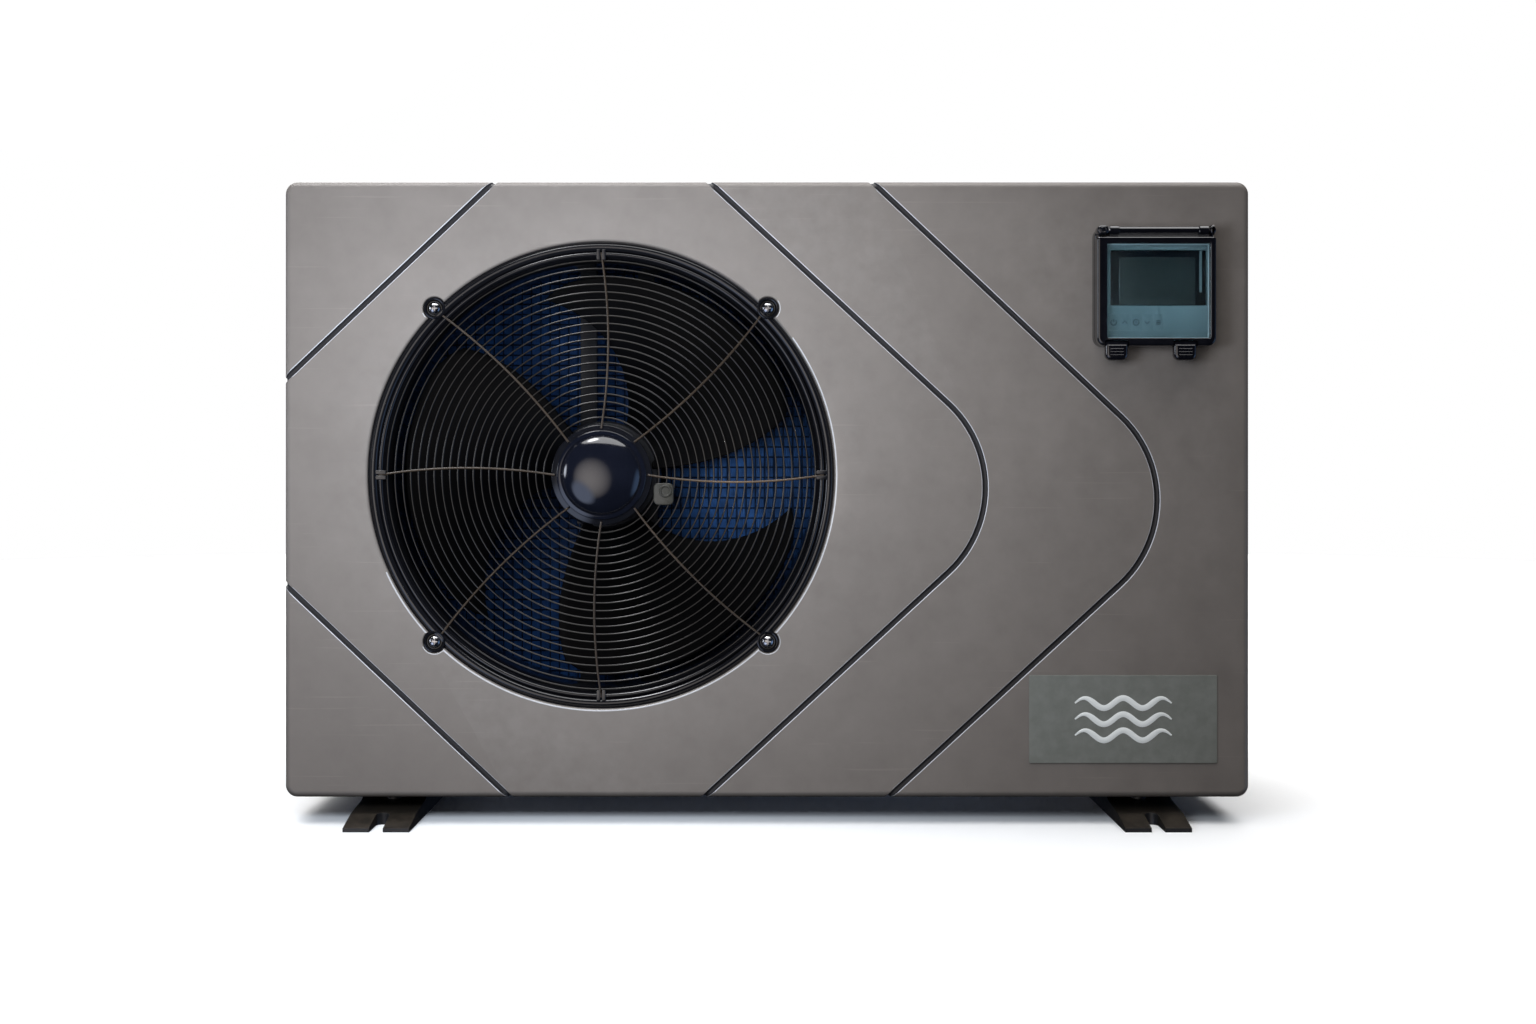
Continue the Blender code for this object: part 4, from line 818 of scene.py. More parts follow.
def make_top_cover():
    """A pressed cap with a drainage channel round its top."""
    low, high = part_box("top_cover")
    bm = bmesh.new()
    bmesh.ops.create_cube(bm, size=1)
    bmesh.ops.transform(
        bm, matrix=Matrix.Translation((low + high) / 2) @ Matrix.Diagonal((*(high - low), 1)),
        verts=bm.verts,
    )
    upper = [
        edge for edge in bm.edges
        if all(v.co.z > high.z - MM for v in edge.verts) and any(v.co.y > 0 for v in edge.verts)
    ]
    corners = [
        edge for edge in bm.edges
        if all(v.co.y > 0 for v in edge.verts) and edge not in upper
        and abs(edge.verts[0].co.z - edge.verts[1].co.z) > MM
    ]
    bmesh.ops.bevel(
        bm, geom=upper + corners, offset=EDGE_RADIUS, segments=8, affect="EDGES", profile=0.5
    )
    cover = make("top_cap", bm, CASING, body=None)
    sheet, past = 3 * MM, 10 * MM
    hollow = slab_tool(
        "Z", (low.x + sheet, low.y - past), (high.x - sheet, high.y - sheet),
        low.z - past, high.z - sheet,
    )
    outline = rounded_rectangle(
        (low.x + 0.030, low.y + 0.026), (high.x - 0.030, high.y - 0.026), 22 * MM, 22 * MM, 14
    )
    bm = bmesh.new()
    stations = []
    for index, (x, y) in enumerate(outline):
        ahead = outline[(index + 1) % len(outline)]
        behind = outline[index - 1]
        way = Vector((ahead[0] - behind[0], ahead[1] - behind[1], 0)).normalized()
        stations.append((Vector((x, y, high.z)), way.cross(Vector((0, 0, 1))), Vector((0, 0, 1))))
    shallow = [(u, v * 0.45 if v < 0 else v) for u, v in groove_section()]
    sweep(bm, shallow, stations, closed=True)
    settle_carved(cover, [hollow, tool_from(bm)], "casing", "top_cover")
    bm = bmesh.new()
    for y in (low.y + 0.030, (low.y + high.y) / 2, high.y - 0.030):
        for x, outward in ((low.x, -1), (high.x, 1)):
            screw_head(bm, (x - outward * 0.9 * MM, y, low.z + 0.012), "X", outward, 3.0 * MM)
    make("top_cap_screws", bm, SCREW_STEEL)


def rear_skin(name, node, tools):
    """A pressed rear panel with a turned rim, cut by tools."""
    low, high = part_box(node)
    sheet = 3 * MM
    bm = bmesh.new()
    layers = rounded_edge(1.2 * MM, high.y, -1, 4)
    layers += [(0, low.y), (sheet, low.y), (sheet, high.y - sheet)]
    loft(bm, "Y", (low.x, low.z), (high.x, high.z), 2.5 * MM, layers, steps=5)
    panel = make(name, bm, CASING, body=None)
    settle_carved(panel, tools, "casing", node)


def make_rear():
    """The louvred grille over the coil, and the service panel round the water unions."""
    low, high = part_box("rear_grille")
    bays = ((low.x + 0.030, -0.195), (-0.175, high.x - 0.020))
    bm = bmesh.new()
    for start, end in bays:
        slot_row(
            bm, "Y", start, end, REAR_SLOT_Z, 26 * MM, REAR_SLOTS, high.y - 12 * MM,
            high.y + 5 * MM,
        )
    rear_skin("rear_louvre_panel", "rear_grille", [tool_from(bm)])
    bm = bmesh.new()
    for start, end in bays:
        for row in range(REAR_SLOTS):
            height = REAR_SLOT_Z + 1.5 * MM + row * SLOT_PITCH
            louvre(bm, "Y", start + MM, end - MM, height, high.y - 1.7 * MM, -1)
    make("rear_louvre_slats", bm, MATT_BLACK)

    low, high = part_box("rear_service_panel")
    tools = []
    for node in ("inlet_union_nut", "outlet_union_nut", "cable_gland"):
        node_low, node_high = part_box(node)
        centre = (node_low + node_high) / 2
        radius = 10.5 * MM if node == "cable_gland" else 28.5 * MM
        bm = bmesh.new()
        profile = [(0, -12 * MM), (radius, -12 * MM), (radius, -1.4 * MM)]
        profile += [(radius + 1.4 * MM, 0.05 * MM), (radius + 1.4 * MM, 4 * MM), (0, 4 * MM)]
        lathe(bm, profile, Vector((centre.x, high.y, centre.z)), "Y", 64)
        tools.append(tool_from(bm))
    rear_skin("service_panel", "rear_service_panel", tools)

    bm = bmesh.new()
    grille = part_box("rear_grille")
    for panel_low, panel_high in (grille, (low, high)):
        for x in (panel_low.x + 0.010, (panel_low.x + panel_high.x) / 2, panel_high.x - 0.010):
            for z in (panel_low.z + 0.012, panel_high.z - 0.012):
                screw_head(bm, (x, high.y, z), "Y", 1, 3.2 * MM)
    make("rear_panel_screws", bm, SCREW_STEEL)


def make_feet():
    """Steel rails whose toes slope down to open anchor slots."""
    for name in ("left", "right"):
        low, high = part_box(f"foot_rail_{name}")
        middle = (low.x + high.x) / 2
        rise = in_mm(((0, 0), (0, 4.0), (30, 11.5), (72, 16), (100, 26.4)))
        front = [(low.y + run, up) for run, up in rise]
        rear = [(high.y - run, up) for run, up in reversed(rise)]
        outline = [front[0], *fillet(front[1:] + rear[:-1], 14 * MM, 6), rear[-1]]
        bm = bmesh.new()
        rings = [[bm.verts.new((x, y, z)) for y, z in outline] for x in (low.x, high.x)]
        skin(bm, rings, (True, True))
        rail = make(f"{name}_foot", bm, FOOT_STEEL, body=None)
        inner = 2.5 * MM
        hollows = []
        for start, top in ((60 * MM, 12.5 * MM), (104 * MM, 24 * MM)):
            hollows.append(slab_tool(
                "Z", (low.x + inner, low.y + start), (high.x - inner, high.y - start),
                -5 * MM, top, corner=3 * MM,
            ))
        bm = bmesh.new()
        half = 6.75 * MM
        past, length = 20 * MM, 26 * MM + half
        for start, stop in ((low.y - past, low.y + length), (high.y - length, high.y + past)):
            slab(
                bm, "Z", (middle - half, start), (middle + half, stop), -10 * MM, 35 * MM,
                corner=half,
            )
        carve(rail, *hollows, tool_from(bm))
        # Upright faces low on the rail, other than those facing straight sideways, turn matt black:
        # along the toe's front edge this is a black sole, on the walls of the slots and hollows it is
        # painted shade
        rail.data.materials.append(MATT_BLACK)
        for face in rail.data.polygons:
            if abs(face.normal.z) < 0.35 and face.center.z < 12 * MM and abs(face.normal.x) < 0.99:
                face.material_index = 1
        smooth(rail, 28)
        soften(rail, 0.9 * MM, 3, 35)
        settle(rail, "casing", (f"foot_rail_{name}",))
        bm = bmesh.new()
        for y in (FRONT_Y + 0.052, REAR_Y - 0.040):
            bolt = in_mm(((0, 1.5), (8.5, 1.5), (9.5, 2.5), (9.5, 6.5), (8.6, 7.6), (0, 7.6)))
            lathe(bm, bolt, Vector((middle, y, BOTTOM_Z - 13 * MM)), "Z", 32)
        make(f"{name}_foot_bolts", bm, MATT_BLACK)


def make_badge():
    """The blank name plate, with three generic waves in place of a mark."""
    low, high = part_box("blank_badge")
    bm = bmesh.new()
    layers = [(0.35 * MM, low.y), (0.1 * MM, low.y + 0.12 * MM), (0, low.y + 0.3 * MM), (0, high.y)]
    loft(bm, "Y", (low.x, low.z), (high.x, high.z), 1.5 * MM, layers, steps=6)
    plate = make("name_plate", bm, BADGE, replaces=("blank_badge",))
    even_normals(plate)

    bm = bmesh.new()
    centre = (low + high) / 2
    length, swing = 96 * MM, 5.0 * MM
    for row in (-1, 0, 1):
        stations = []
        for step in range(61):
            share = step / 60
            turn = share * 2.5 * 2 * math.pi
            place = Vector((centre.x + (share - 0.5) * length, low.y - 0.02 * MM, centre.z))
            place.z += row * 16 * MM + swing * math.sin(turn)
            slope = swing * 2.5 * 2 * math.pi / length * math.cos(turn)
            across = Vector((-slope, 0, 1)).normalized()
            taper = min(1.0, 0.25 + 4 * min(share, 1 - share))
            stations.append((place, across * taper, Vector((0, -1, 0))))
        section = [
            (2.9 * MM, -0.2 * MM), (2.9 * MM, 0.05 * MM), (2.6 * MM, 0.16 * MM),
            (-2.6 * MM, 0.16 * MM), (-2.9 * MM, 0.05 * MM), (-2.9 * MM, -0.2 * MM),
        ]
        sweep(bm, section, stations)
    make("name_plate_waves", bm, BADGE_MARK)


# ---------------------------------------------------------------- fan side


def make_shroud():
    """The bell mouth: a flange, a glossy bead round the opening, and the throat."""
    flange = [(252, 8), (252, 5.2), (231.8, 5.2)]
    bead = [(227.2 + 4.3 * u, 5.4 - 4.2 * v) for u, v in arc(1, 0, math.pi, 16)]
    mouth = [(213.5 + 8.6 * (1 - v), 27.0 - 20.0 * u) for u, v in arc(1, 0, math.pi / 2, 12)]
    throat = mouth + [(213.5, 74), (214.5, 75), (216, 75)]
    back = [(216, 29), (218, 19), (223, 11), (232, 8)]
    bm = bmesh.new()
    lathe(bm, in_mm(flange + bead + throat + back), FAN_AXIS, "Y", 192, closed=True)
    make("fan_bell_mouth", bm, GLOSS_BLACK, replaces=("fan_shroud",), sharp=50)

    bm = bmesh.new()
    lug = in_mm((
        (0, 5.2), (10.9, 5.2), (10.9, 1.2), (10.4, 0.3), (9.6, 0.0), (8.8, 0.3), (8.3, 1.2),
        (8.1, 3.4), (0, 3.4),
    ))
    for angle in LUG_ANGLES:
        lathe(bm, lug, polar(LUG_RADIUS, angle), "Y", 40)
    make("guard_lugs", bm, GLOSS_BLACK)


def spoke_points(angle, inner, outer, depth):
    """A bowed line from the hub plate outwards, in front of the rings."""
    points = []
    for step in range(25):
        share = step / 24
        radius = inner + (outer - inner) * share
        bow = SPOKE_BOW * 4 * share * (1 - share)
        points.append(polar(radius, angle - bow / radius, depth))
    return points


def make_guard():
    """Thin rings behind eight bowed spokes, a stout rim, four eyes and four clips."""
    bm = bmesh.new()
    for index in range(GUARD_RINGS):
        radius = GUARD_OUTER_WIRE - index * GUARD_PITCH
        lathe(bm, wire_section(radius, 4.6 * MM, RING_WIRE), FAN_AXIS, "Y", 160, closed=True)
    rings = make("guard_rings", bm, RING_WIRE_FINISH, sharp=80)
    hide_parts("fan_guard")

    bm = bmesh.new()
    rim = wire_section(RIM_RADIUS, 4.0 * MM, RIM_WIRE, 16)
    lathe(bm, rim, FAN_AXIS, "Y", 192, closed=True)
    plate = in_mm(((0, 3.9), (49.4, 3.9), (50, 4.4), (50, 5.8), (49.2, 6.4), (0, 6.4)))
    lathe(bm, plate, FAN_AXIS, "Y", 96)
    make("guard_rim", bm, GLOSS_BLACK, sharp=60)

    bm = bmesh.new()
    for index in range(SPOKE_COUNT):
        outer = LUG_RADIUS - 7.6 * MM if index % 2 else RIM_RADIUS + 1.5 * MM
        angle = 2 * math.pi * index / SPOKE_COUNT
        tube(bm, spoke_points(angle, 46.5 * MM, outer, 2.7 * MM), SPOKE_WIRE, 10)
    make("guard_spokes", bm, SPOKE_FINISH, sharp=70)

    bm = bmesh.new()
    for angle in LUG_ANGLES:
        eye = polar(LUG_RADIUS, angle, 2.6 * MM)
        lathe(bm, wire_section(7.0 * MM, 0, 1.1 * MM), eye, "Y", 40, closed=True)
    make("guard_eyes", bm, RING_WIRE_FINISH, sharp=70)

    bm = bmesh.new()
    for quarter in range(4):
        turned = Matrix.Translation(FAN_AXIS) @ Matrix.Rotation(-math.pi / 2 * quarter, 4, "Y")
        fresh = bmesh.new()
        for low in (-4.6 * MM, 0.7 * MM):
            slab(
                fresh, "Y", (214.0 * MM, low), (224.5 * MM, low + 3.9 * MM), 0.9 * MM, 6.2 * MM,
                corner=0.9 * MM, edge=0.6 * MM, steps=3,
            )
        bmesh.ops.transform(fresh, matrix=turned, verts=fresh.verts)
        copy = bpy.data.meshes.new("clip")
        fresh.to_mesh(copy)
        fresh.free()
        bm.from_mesh(copy)
        bpy.data.meshes.remove(copy)
    make("guard_clips", bm, GLOSS_BLACK)

    bm = bmesh.new()
    low, high = CLIP_PLACE
    slab(bm, "Y", low, high, FRONT_Y + 1.8 * MM, FRONT_Y + 7.6 * MM, corner=5 * MM, edge=1.2 * MM)
    eye = Vector((high[0] - 8 * MM, FRONT_Y, high[1] - 8 * MM))
    lathe(bm, wire_section(5.2 * MM, 1.7 * MM, 1.3 * MM, 12), eye, "Y", 32, closed=True)
    make("guard_cable_clip", bm, CLIP_GREY)


def make_hub_cap():
    """The glossy dome in the middle of the guard, with a thin flat rim."""
    rim = [(0, 3.3), (44.4, 3.3), (44.5, 2.6), (44.3, 1.9), (43.8, 1.5), (41.2, 1.2), (40.4, 0.9)]
    side = math.radians(80)
    dome = []
    for along, out in arc(1, side, 0, 24):
        rise = (along - math.cos(side)) / (1 - math.cos(side))
        dome.append((39.9 * out / math.sin(side), 1.6 - 13.1 * rise))
    bm = bmesh.new()
    lathe(bm, in_mm(rim + dome), FAN_AXIS, "Y", 128)
    make("hub_dome", bm, DOME_BLACK, replaces=("guard_hub_cap",), sharp=50)


def make_guard_screws():
    """Four domed screws with a cross recess."""
    for number, angle in enumerate(LUG_ANGLES, 1):
        place = polar(LUG_RADIUS, angle)
        bm = bmesh.new()
        profile = in_mm((
            (0, 3.4), (5.9, 3.4), (5.9, 2.0), (5.6, 1.3), (4.6, 0.3), (3.0, -0.5), (1.5, -0.85),
            (0, -0.95),
        ))
        lathe(bm, profile, place, "Y", 40)
        screw = make(f"guard_screw_head_{number}", bm, SCREW_STEEL, body=None)
        long, short = 3.1 * MM, 0.6 * MM
        for reach, width in ((long, short), (short, long)):
            carve(screw, slab_tool(
                "Y", (place.x - reach, place.z - width), (place.x + reach, place.z + width),
                place.y - 3 * MM, place.y + 1.1 * MM, corner=0.3 * MM, edge=0.2 * MM, steps=2,
            ))
        smooth(screw, 40)
        settle(screw, "casing", (f"guard_screw_{number}",))


def blade(bm, turn):
    """One wide, swept, twisted blade, as a sheet of faces."""
    rows, columns = 22, 22
    grid = []
    for row in range(rows + 1):
        share = row / rows
        radius = HUB_RADIUS - 6 * MM + (BLADE_TIP - HUB_RADIUS + 6 * MM) * share
        chord = math.radians(62 + 30 * share)
        sweep_back = math.radians(26) * share**1.4
        pitch = 46 * MM - 12 * MM * share
        line = []
        for column in range(columns + 1):
            across = column / columns
            corner = max(0.0, (abs(across - 0.5) - 0.36) / 0.14) ** 2.2
            trimmed = radius - 11 * MM * corner * share**3
            angle = turn + sweep_back + chord * (across - 0.5)
            camber = 7 * MM * math.sin(math.pi * across)
            depth = 57.5 * MM + pitch * (across - 0.5) - camber
            line.append(bm.verts.new(polar(trimmed, angle, depth)))
        grid.append(line)
    for lower, upper in zip(grid, grid[1:]):
        bridge(bm, lower, upper, closed=False)


def make_fan():
    """Three blades on a ribbed hub, which turn together."""
    bm = bmesh.new()
    for index in range(BLADE_COUNT):
        blade(bm, BLADE_PHASE + 2 * math.pi * index / BLADE_COUNT)
    blades = make("fan_blades", bm, BLADE_BLACK, body=None, sharp=70)
    skin = blades.modifiers.new("thickness", "SOLIDIFY")
    skin.thickness = 3.0 * MM
    skin.offset = 0
    rounding = blades.modifiers.new("rounding", "BEVEL")
    rounding.width = 1.1 * MM
    rounding.segments = 3
    rounding.limit_method = "ANGLE"
    rounding.angle_limit = math.radians(50)
    settle(blades, "fan", ("fan_rotor",))

    bm = bmesh.new()
    hub = [(6.5, 34), (6.5, 30.5), (20, 30.5), (22, 34), (44, 34), (53, 37), (55, 42), (55, 84.5)]
    inner = [(52, 40), (44, 37.5), (24, 37.5), (12, 44), (12, 70), (6.5, 70)]
    profile = in_mm(fillet(hub + [(52, 84.5)], 2.0, 4) + inner)
    lathe(bm, profile, FAN_AXIS, "Y", 96, closed=True)
    for rib in range(12):
        angle = 2 * math.pi * rib / 12
        points = [polar(r * MM, angle, 34.2 * MM) for r in (22, 30, 38, 46)]
        tube(bm, points, 1.3 * MM, 8)
    make("fan_hub", bm, MATT_BLACK, body="fan")


# ---------------------------------------------------------------- controller


def make_controller_base():
    """The glossy base, a rounded frame standing out of the face."""
    low, high = BASE_LOW, BASE_HIGH
    layers = [(0.6 * MM, FRONT_Y - 0.3 * MM), (0, FRONT_Y - 0.9 * MM)]
    layers += rounded_edge(2.6 * MM, BASE_FACE, 1, 6)[::-1]
    layers += [(5.2 * MM, BASE_FACE), (5.6 * MM, BASE_FACE + 0.4 * MM), (5.6 * MM, FRONT_Y + 23 * MM)]
    layers += [(3.6 * MM, FRONT_Y + out * MM) for out in (23.5, 1.5, -0.3)]
    bm = bmesh.new()
    rings = loft(
        bm, "Y", (low.x, low.z), (high.x, high.z), 10 * MM, layers, capped=(False, False), steps=8
    )
    bridge(bm, rings[-1], rings[0])
    make(
        "controller_body", bm, CONTROL_BLACK, replaces=("controller_base",),
    )


def make_hinge_ears():
    """An ear at each end of the hinge pin, the left one wider and with a ring on it."""
    low, high = BASE_LOW, BASE_HIGH
    bm = bmesh.new()
    left_ear, right_ear = (low.x + 0.3 * MM, low.x + EARS[0]), (high.x - EARS[1], high.x - 0.3 * MM)
    for start, stop in (left_ear, right_ear):
        slab(
            bm, "Y", (start, HINGE.z - 4.7 * MM), (stop, HINGE.z + 4.7 * MM),
            HINGE.y - 4.7 * MM, BASE_FACE + 3 * MM, corner=4.4 * MM, edge=2.2 * MM, steps=8,
        )
    ring = Vector((low.x + EARS[0] / 2 + 0.4 * MM, HINGE.y - 4.5 * MM, HINGE.z))
    lathe(bm, wire_section(2.5 * MM, 0, 0.75 * MM, 12), ring, "Y", 40, closed=True)
    make("controller_hinge_ears", bm, CONTROL_BLACK)


def make_display_unit():
    """The teal body of the display, cut for its screen and its keys."""
    face = UNIT_LOW.y
    bm = bmesh.new()
    layers = [(0, UNIT_HIGH.y)] + rounded_edge(0.8 * MM, face, 1, 4)[::-1]
    loft(bm, "Y", (UNIT_LOW.x, UNIT_LOW.z), (UNIT_HIGH.x, UNIT_HIGH.z), 3 * MM, layers, steps=6)
    body = make("display_unit", bm, KEYPAD, body=None)
    bm = bmesh.new()
    clear = 0.5 * MM
    slab(
        bm, "Y", (SCREEN_LOW.x - clear, SCREEN_LOW.z - clear),
        (SCREEN_HIGH.x + clear, SCREEN_HIGH.z + clear), face - 5 * MM, face + 7 * MM,
        corner=1.2 * MM,
    )
    clear = 0.06 * MM
    for number in range(1, 6):
        low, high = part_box(f"key_{number}")
        slab(
            bm, "Y", (low.x - clear, low.z - clear), (high.x + clear, high.z + clear),
            face - 5 * MM, face + 5 * MM, corner=1.4 * MM,
        )
    settle_carved(body, [tool_from(bm)], "casing", "controller_unit")


def make_screen():
    """The dark screen, the pane set in it, and the strip down its right side."""
    face = UNIT_LOW.y
    low, high = SCREEN_LOW, SCREEN_HIGH
    bm = bmesh.new()
    layers = [(0, high.y)] + rounded_edge(0.5 * MM, face + 3.4 * MM, 1, 3)[::-1]
    loft(bm, "Y", (low.x, low.z), (high.x, high.z), 1 * MM, layers)
    make("screen_surround", bm, SCREEN_BLACK, replaces=("display_screen",))
    bm = bmesh.new()
    layers = [(0, face + 3.6 * MM)] + rounded_edge(0.4 * MM, face + 2.7 * MM, 1, 3)[::-1]
    loft(
        bm, "Y", (low.x + 9.0 * MM, low.z + 0.6 * MM), (high.x - 10.4 * MM, high.z - 6.4 * MM),
        1 * MM, layers,
    )
    make("lcd_pane", bm, LCD)
    bm = bmesh.new()
    slab(
        bm, "Y", (high.x - 6.4 * MM, low.z + 13 * MM), (high.x - 4.3 * MM, high.z - 0.3 * MM),
        face + 1.6 * MM, face + 3.5 * MM, corner=0.5 * MM, edge=0.4 * MM,
    )
    make("screen_side_strip", bm, KEYPAD)


def key_marks():
    """Generic signs for the keys, as lines of (u, v) points in millimetres about a key's middle."""
    ring = arc(2.8, 0.72 * math.pi, 2.28 * math.pi, 16)
    clock = arc(2.8, 0, 2 * math.pi, 20)
    return {
        1: [ring, [(0, 0.6), (0, 3.0)]],
        2: [[(-2.2, -1.1), (0, 1.5), (2.2, -1.1)]],
        3: [clock, [(0, 1.6), (0, 0), (1.2, -0.7)]],
        4: [[(-2.2, 1.1), (0, -1.5), (2.2, 1.1)]],
        5: [[(-2.2, 1.6), (2.2, 1.6)], [(-2.2, 0), (2.2, 0)], [(-2.2, -1.6), (2.2, -1.6)]],
    }


def make_keys():
    """Five narrow keys flush with the unit, each with a faint sign."""
    for number, lines in key_marks().items():
        low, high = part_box(f"key_{number}")
        face = low.y
        bm = bmesh.new()
        layers = [(0, high.y)] + rounded_edge(0.10 * MM, face, 1, 3)[::-1]
        loft(bm, "Y", (low.x, low.z), (high.x, high.z), 1.36 * MM, layers, steps=5)
        make(
            f"key_cap_{number}", bm, KEYPAD, body=f"key_{number}", replaces=(f"key_{number}",),
        )
        bm = bmesh.new()
        middle = (low + high) / 2
        for line in lines:
            points = [Vector((middle.x + u * MM, face, middle.z + v * MM)) for u, v in line]
            tube(bm, points, 0.46 * MM, 8)
        make(f"key_sign_{number}", bm, KEY_MARK, body=f"key_{number}", sharp=80)


def make_cover_shell():
    """The glossy frame of the splash cover, rebated for its window and notched for its latches."""
    low, high = COVER_LOW, COVER_HIGH
    front, back = COVER_FRONT, COVER_BACK
    bm = bmesh.new()
    layers = rounded_edge(2.8 * MM, front, 1, 7) + rounded_edge(0.7 * MM, back, -1, 3)[::-1]
    loft(bm, "Y", (low.x, low.z), (high.x, COVER_TOP), 8.5 * MM, layers, steps=8, upper=3.2 * MM)
    shell = make("cover_shell", bm, CONTROL_BLACK, body=None)
    bm = bmesh.new()
    flare = [(-1.2 * MM, front - 2 * MM), (-1.2 * MM, front - 0.1 * MM), (-0.5 * MM, front + 0.25 * MM)]
    flare += [(0, front + 1.0 * MM), (0, back + 5 * MM)]
    loft(bm, "Y", SIGHT_LOW, SIGHT_HIGH, 1.0 * MM, flare, steps=4)
    sight = tool_from(bm)
    reach = 2.9 * MM
    rebate_tool = slab_tool(
        "Y", (SIGHT_LOW[0] - reach, SIGHT_LOW[1] - reach),
        (SIGHT_HIGH[0] + reach, SIGHT_HIGH[1] + reach), WINDOW_LOW.y - 0.2 * MM, back + 5 * MM,
        corner=1 * MM, edge=0.2 * MM,
    )
    notches = bmesh.new()
    for side in ("left", "right"):
        latch_low, latch_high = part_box(f"latch_{side}")
        slab(
            notches, "Y", (latch_low.x - 0.6 * MM, low.z - 5 * MM),
            (latch_high.x + 0.6 * MM, latch_high.z + 0.4 * MM), front - 5 * MM, back + 5 * MM,
            corner=1 * MM,
        )
    tools = [sight, rebate_tool, tool_from(notches)]
    settle_carved(shell, tools, "controller_cover", "cover_frame", sharp=34)


def make_cover_knuckles():
    """The cover's barrel on the hinge pin, and the web that joins it to the shell."""
    start, stop = BARREL
    knuckle = 9 * MM
    thick, thin = 4.55 * MM, 3.5 * MM
    profile = [(2.1 * MM, 0), (thick - 0.5 * MM, 0), (thick, 0.5 * MM), (thick, knuckle)]
    profile += [(thin, knuckle + 0.8 * MM)]
    mirrored = [(r, stop - start - along) for r, along in reversed(profile)]
    bm = bmesh.new()
    lathe(bm, profile + mirrored, Vector((start, HINGE.y, HINGE.z)), "X", 40, closed=True)
    for offset, radius in ((-5.6 * MM, 1.3 * MM), (-3.6 * MM, 1.1 * MM)):
        tube(bm, [(x, HINGE.y - 1.6 * MM, HINGE.z + offset) for x in BARREL], radius, 12)
    slab(
        bm, "Y", (start, COVER_TOP - 3 * MM), (stop, HINGE.z - 1.5 * MM),
        COVER_FRONT + 3.2 * MM, COVER_BACK - 0.2 * MM, corner=0.6 * MM, edge=0.4 * MM, steps=3,
    )
    make("cover_hinge_knuckles", bm, CONTROL_BLACK, body="controller_cover")


def make_cover_window():
    """The clear window, with pale bars along its edges painted as the light that gathers there."""
    bm = bmesh.new()
    slab(
        bm, "Y", (WINDOW_LOW.x, WINDOW_LOW.z), (WINDOW_HIGH.x, WINDOW_HIGH.z), WINDOW_LOW.y,
        WINDOW_HIGH.y, corner=1.2 * MM, edge=0.3 * MM,
    )
    make(
        "cover_pane", bm, CLEAR, body="controller_cover", replaces=("cover_window",),
    )
    (left, lower), (right, upper) = SIGHT_LOW, SIGHT_HIGH
    plane = WINDOW_LOW.y - 0.9 * MM
    bar = 0.85 * MM
    bm = bmesh.new()
    for bar_low, bar_high in (
        ((left, lower), (left + bar, upper)),
        ((right - bar, lower), (right, upper)),
        ((left + bar, upper - bar), (right - bar, upper)),
        ((left + bar, lower), (right - bar, lower + bar)),
    ):
        slab(bm, "Y", bar_low, bar_high, plane, plane + 0.8 * MM, 0.3 * MM, 0.25 * MM)
    make("cover_pane_edge", bm, CLEAR_EDGE_PAINTED_LIGHT, body="controller_cover")


def make_latches():
    """Two rounded snap latches along the cover's lower edge, with finger ridges."""
    for side in ("left", "right"):
        low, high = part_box(f"latch_{side}")
        pivot_y, pivot_z = low.y + 4.1 * MM, high.z - 3.2 * MM
        bm = bmesh.new()
        layers = rounded_edge(3.4 * MM, low.y, 1, 8)
        layers += rounded_edge(1.2 * MM, low.y + 8.2 * MM, -1, 4)[::-1]
        loft(
            bm, "Y", (low.x + 0.3 * MM, low.z), (high.x - 0.3 * MM, pivot_z), 6.0 * MM, layers,
            steps=8, upper=1.5 * MM,
        )
        for ridge in range(3):
            height = low.z + (5.0 + 3.0 * ridge) * MM
            points = [(x, low.y + 0.35 * MM, height) for x in (low.x + 5 * MM, high.x - 5 * MM)]
            tube(bm, points, 0.75 * MM, 10)
        points = [(x, pivot_y, pivot_z) for x in (low.x + 0.6 * MM, high.x - 0.6 * MM)]
        tube(bm, points, 3.15 * MM, 24)
        slab(
            bm, "Y", (low.x + 2.6 * MM, low.z + 5.4 * MM), (high.x - 2.6 * MM, low.z + 8.6 * MM),
            low.y + 6 * MM, high.y, corner=0.8 * MM,
        )
        make(
            f"snap_latch_{side}", bm, CONTROL_BLACK, body=f"latch_{side}",
            replaces=(f"latch_{side}",), sharp=50,
        )


# ---------------------------------------------------------------- water side and gland


def ribbed(bm, radius, depth, count, start, stop, centre, steps):
    """A sleeve whose outside carries round grip ribs, from start to stop along Y."""
    rows = ((radius - 1.2 * MM, start), (radius, start + 1.4 * MM), (radius, stop - 1.4 * MM))
    rows += ((radius - 1.2 * MM, stop),)
    rings = []
    for outer, along in rows:
        def reach(turn):
            return outer - depth * (0.5 - 0.5 * math.cos(count * turn)) ** 3
        rings.append(ring_about(bm, centre, along, reach, steps))
    skin(bm, rings)
    return rings[0], rings[-1]


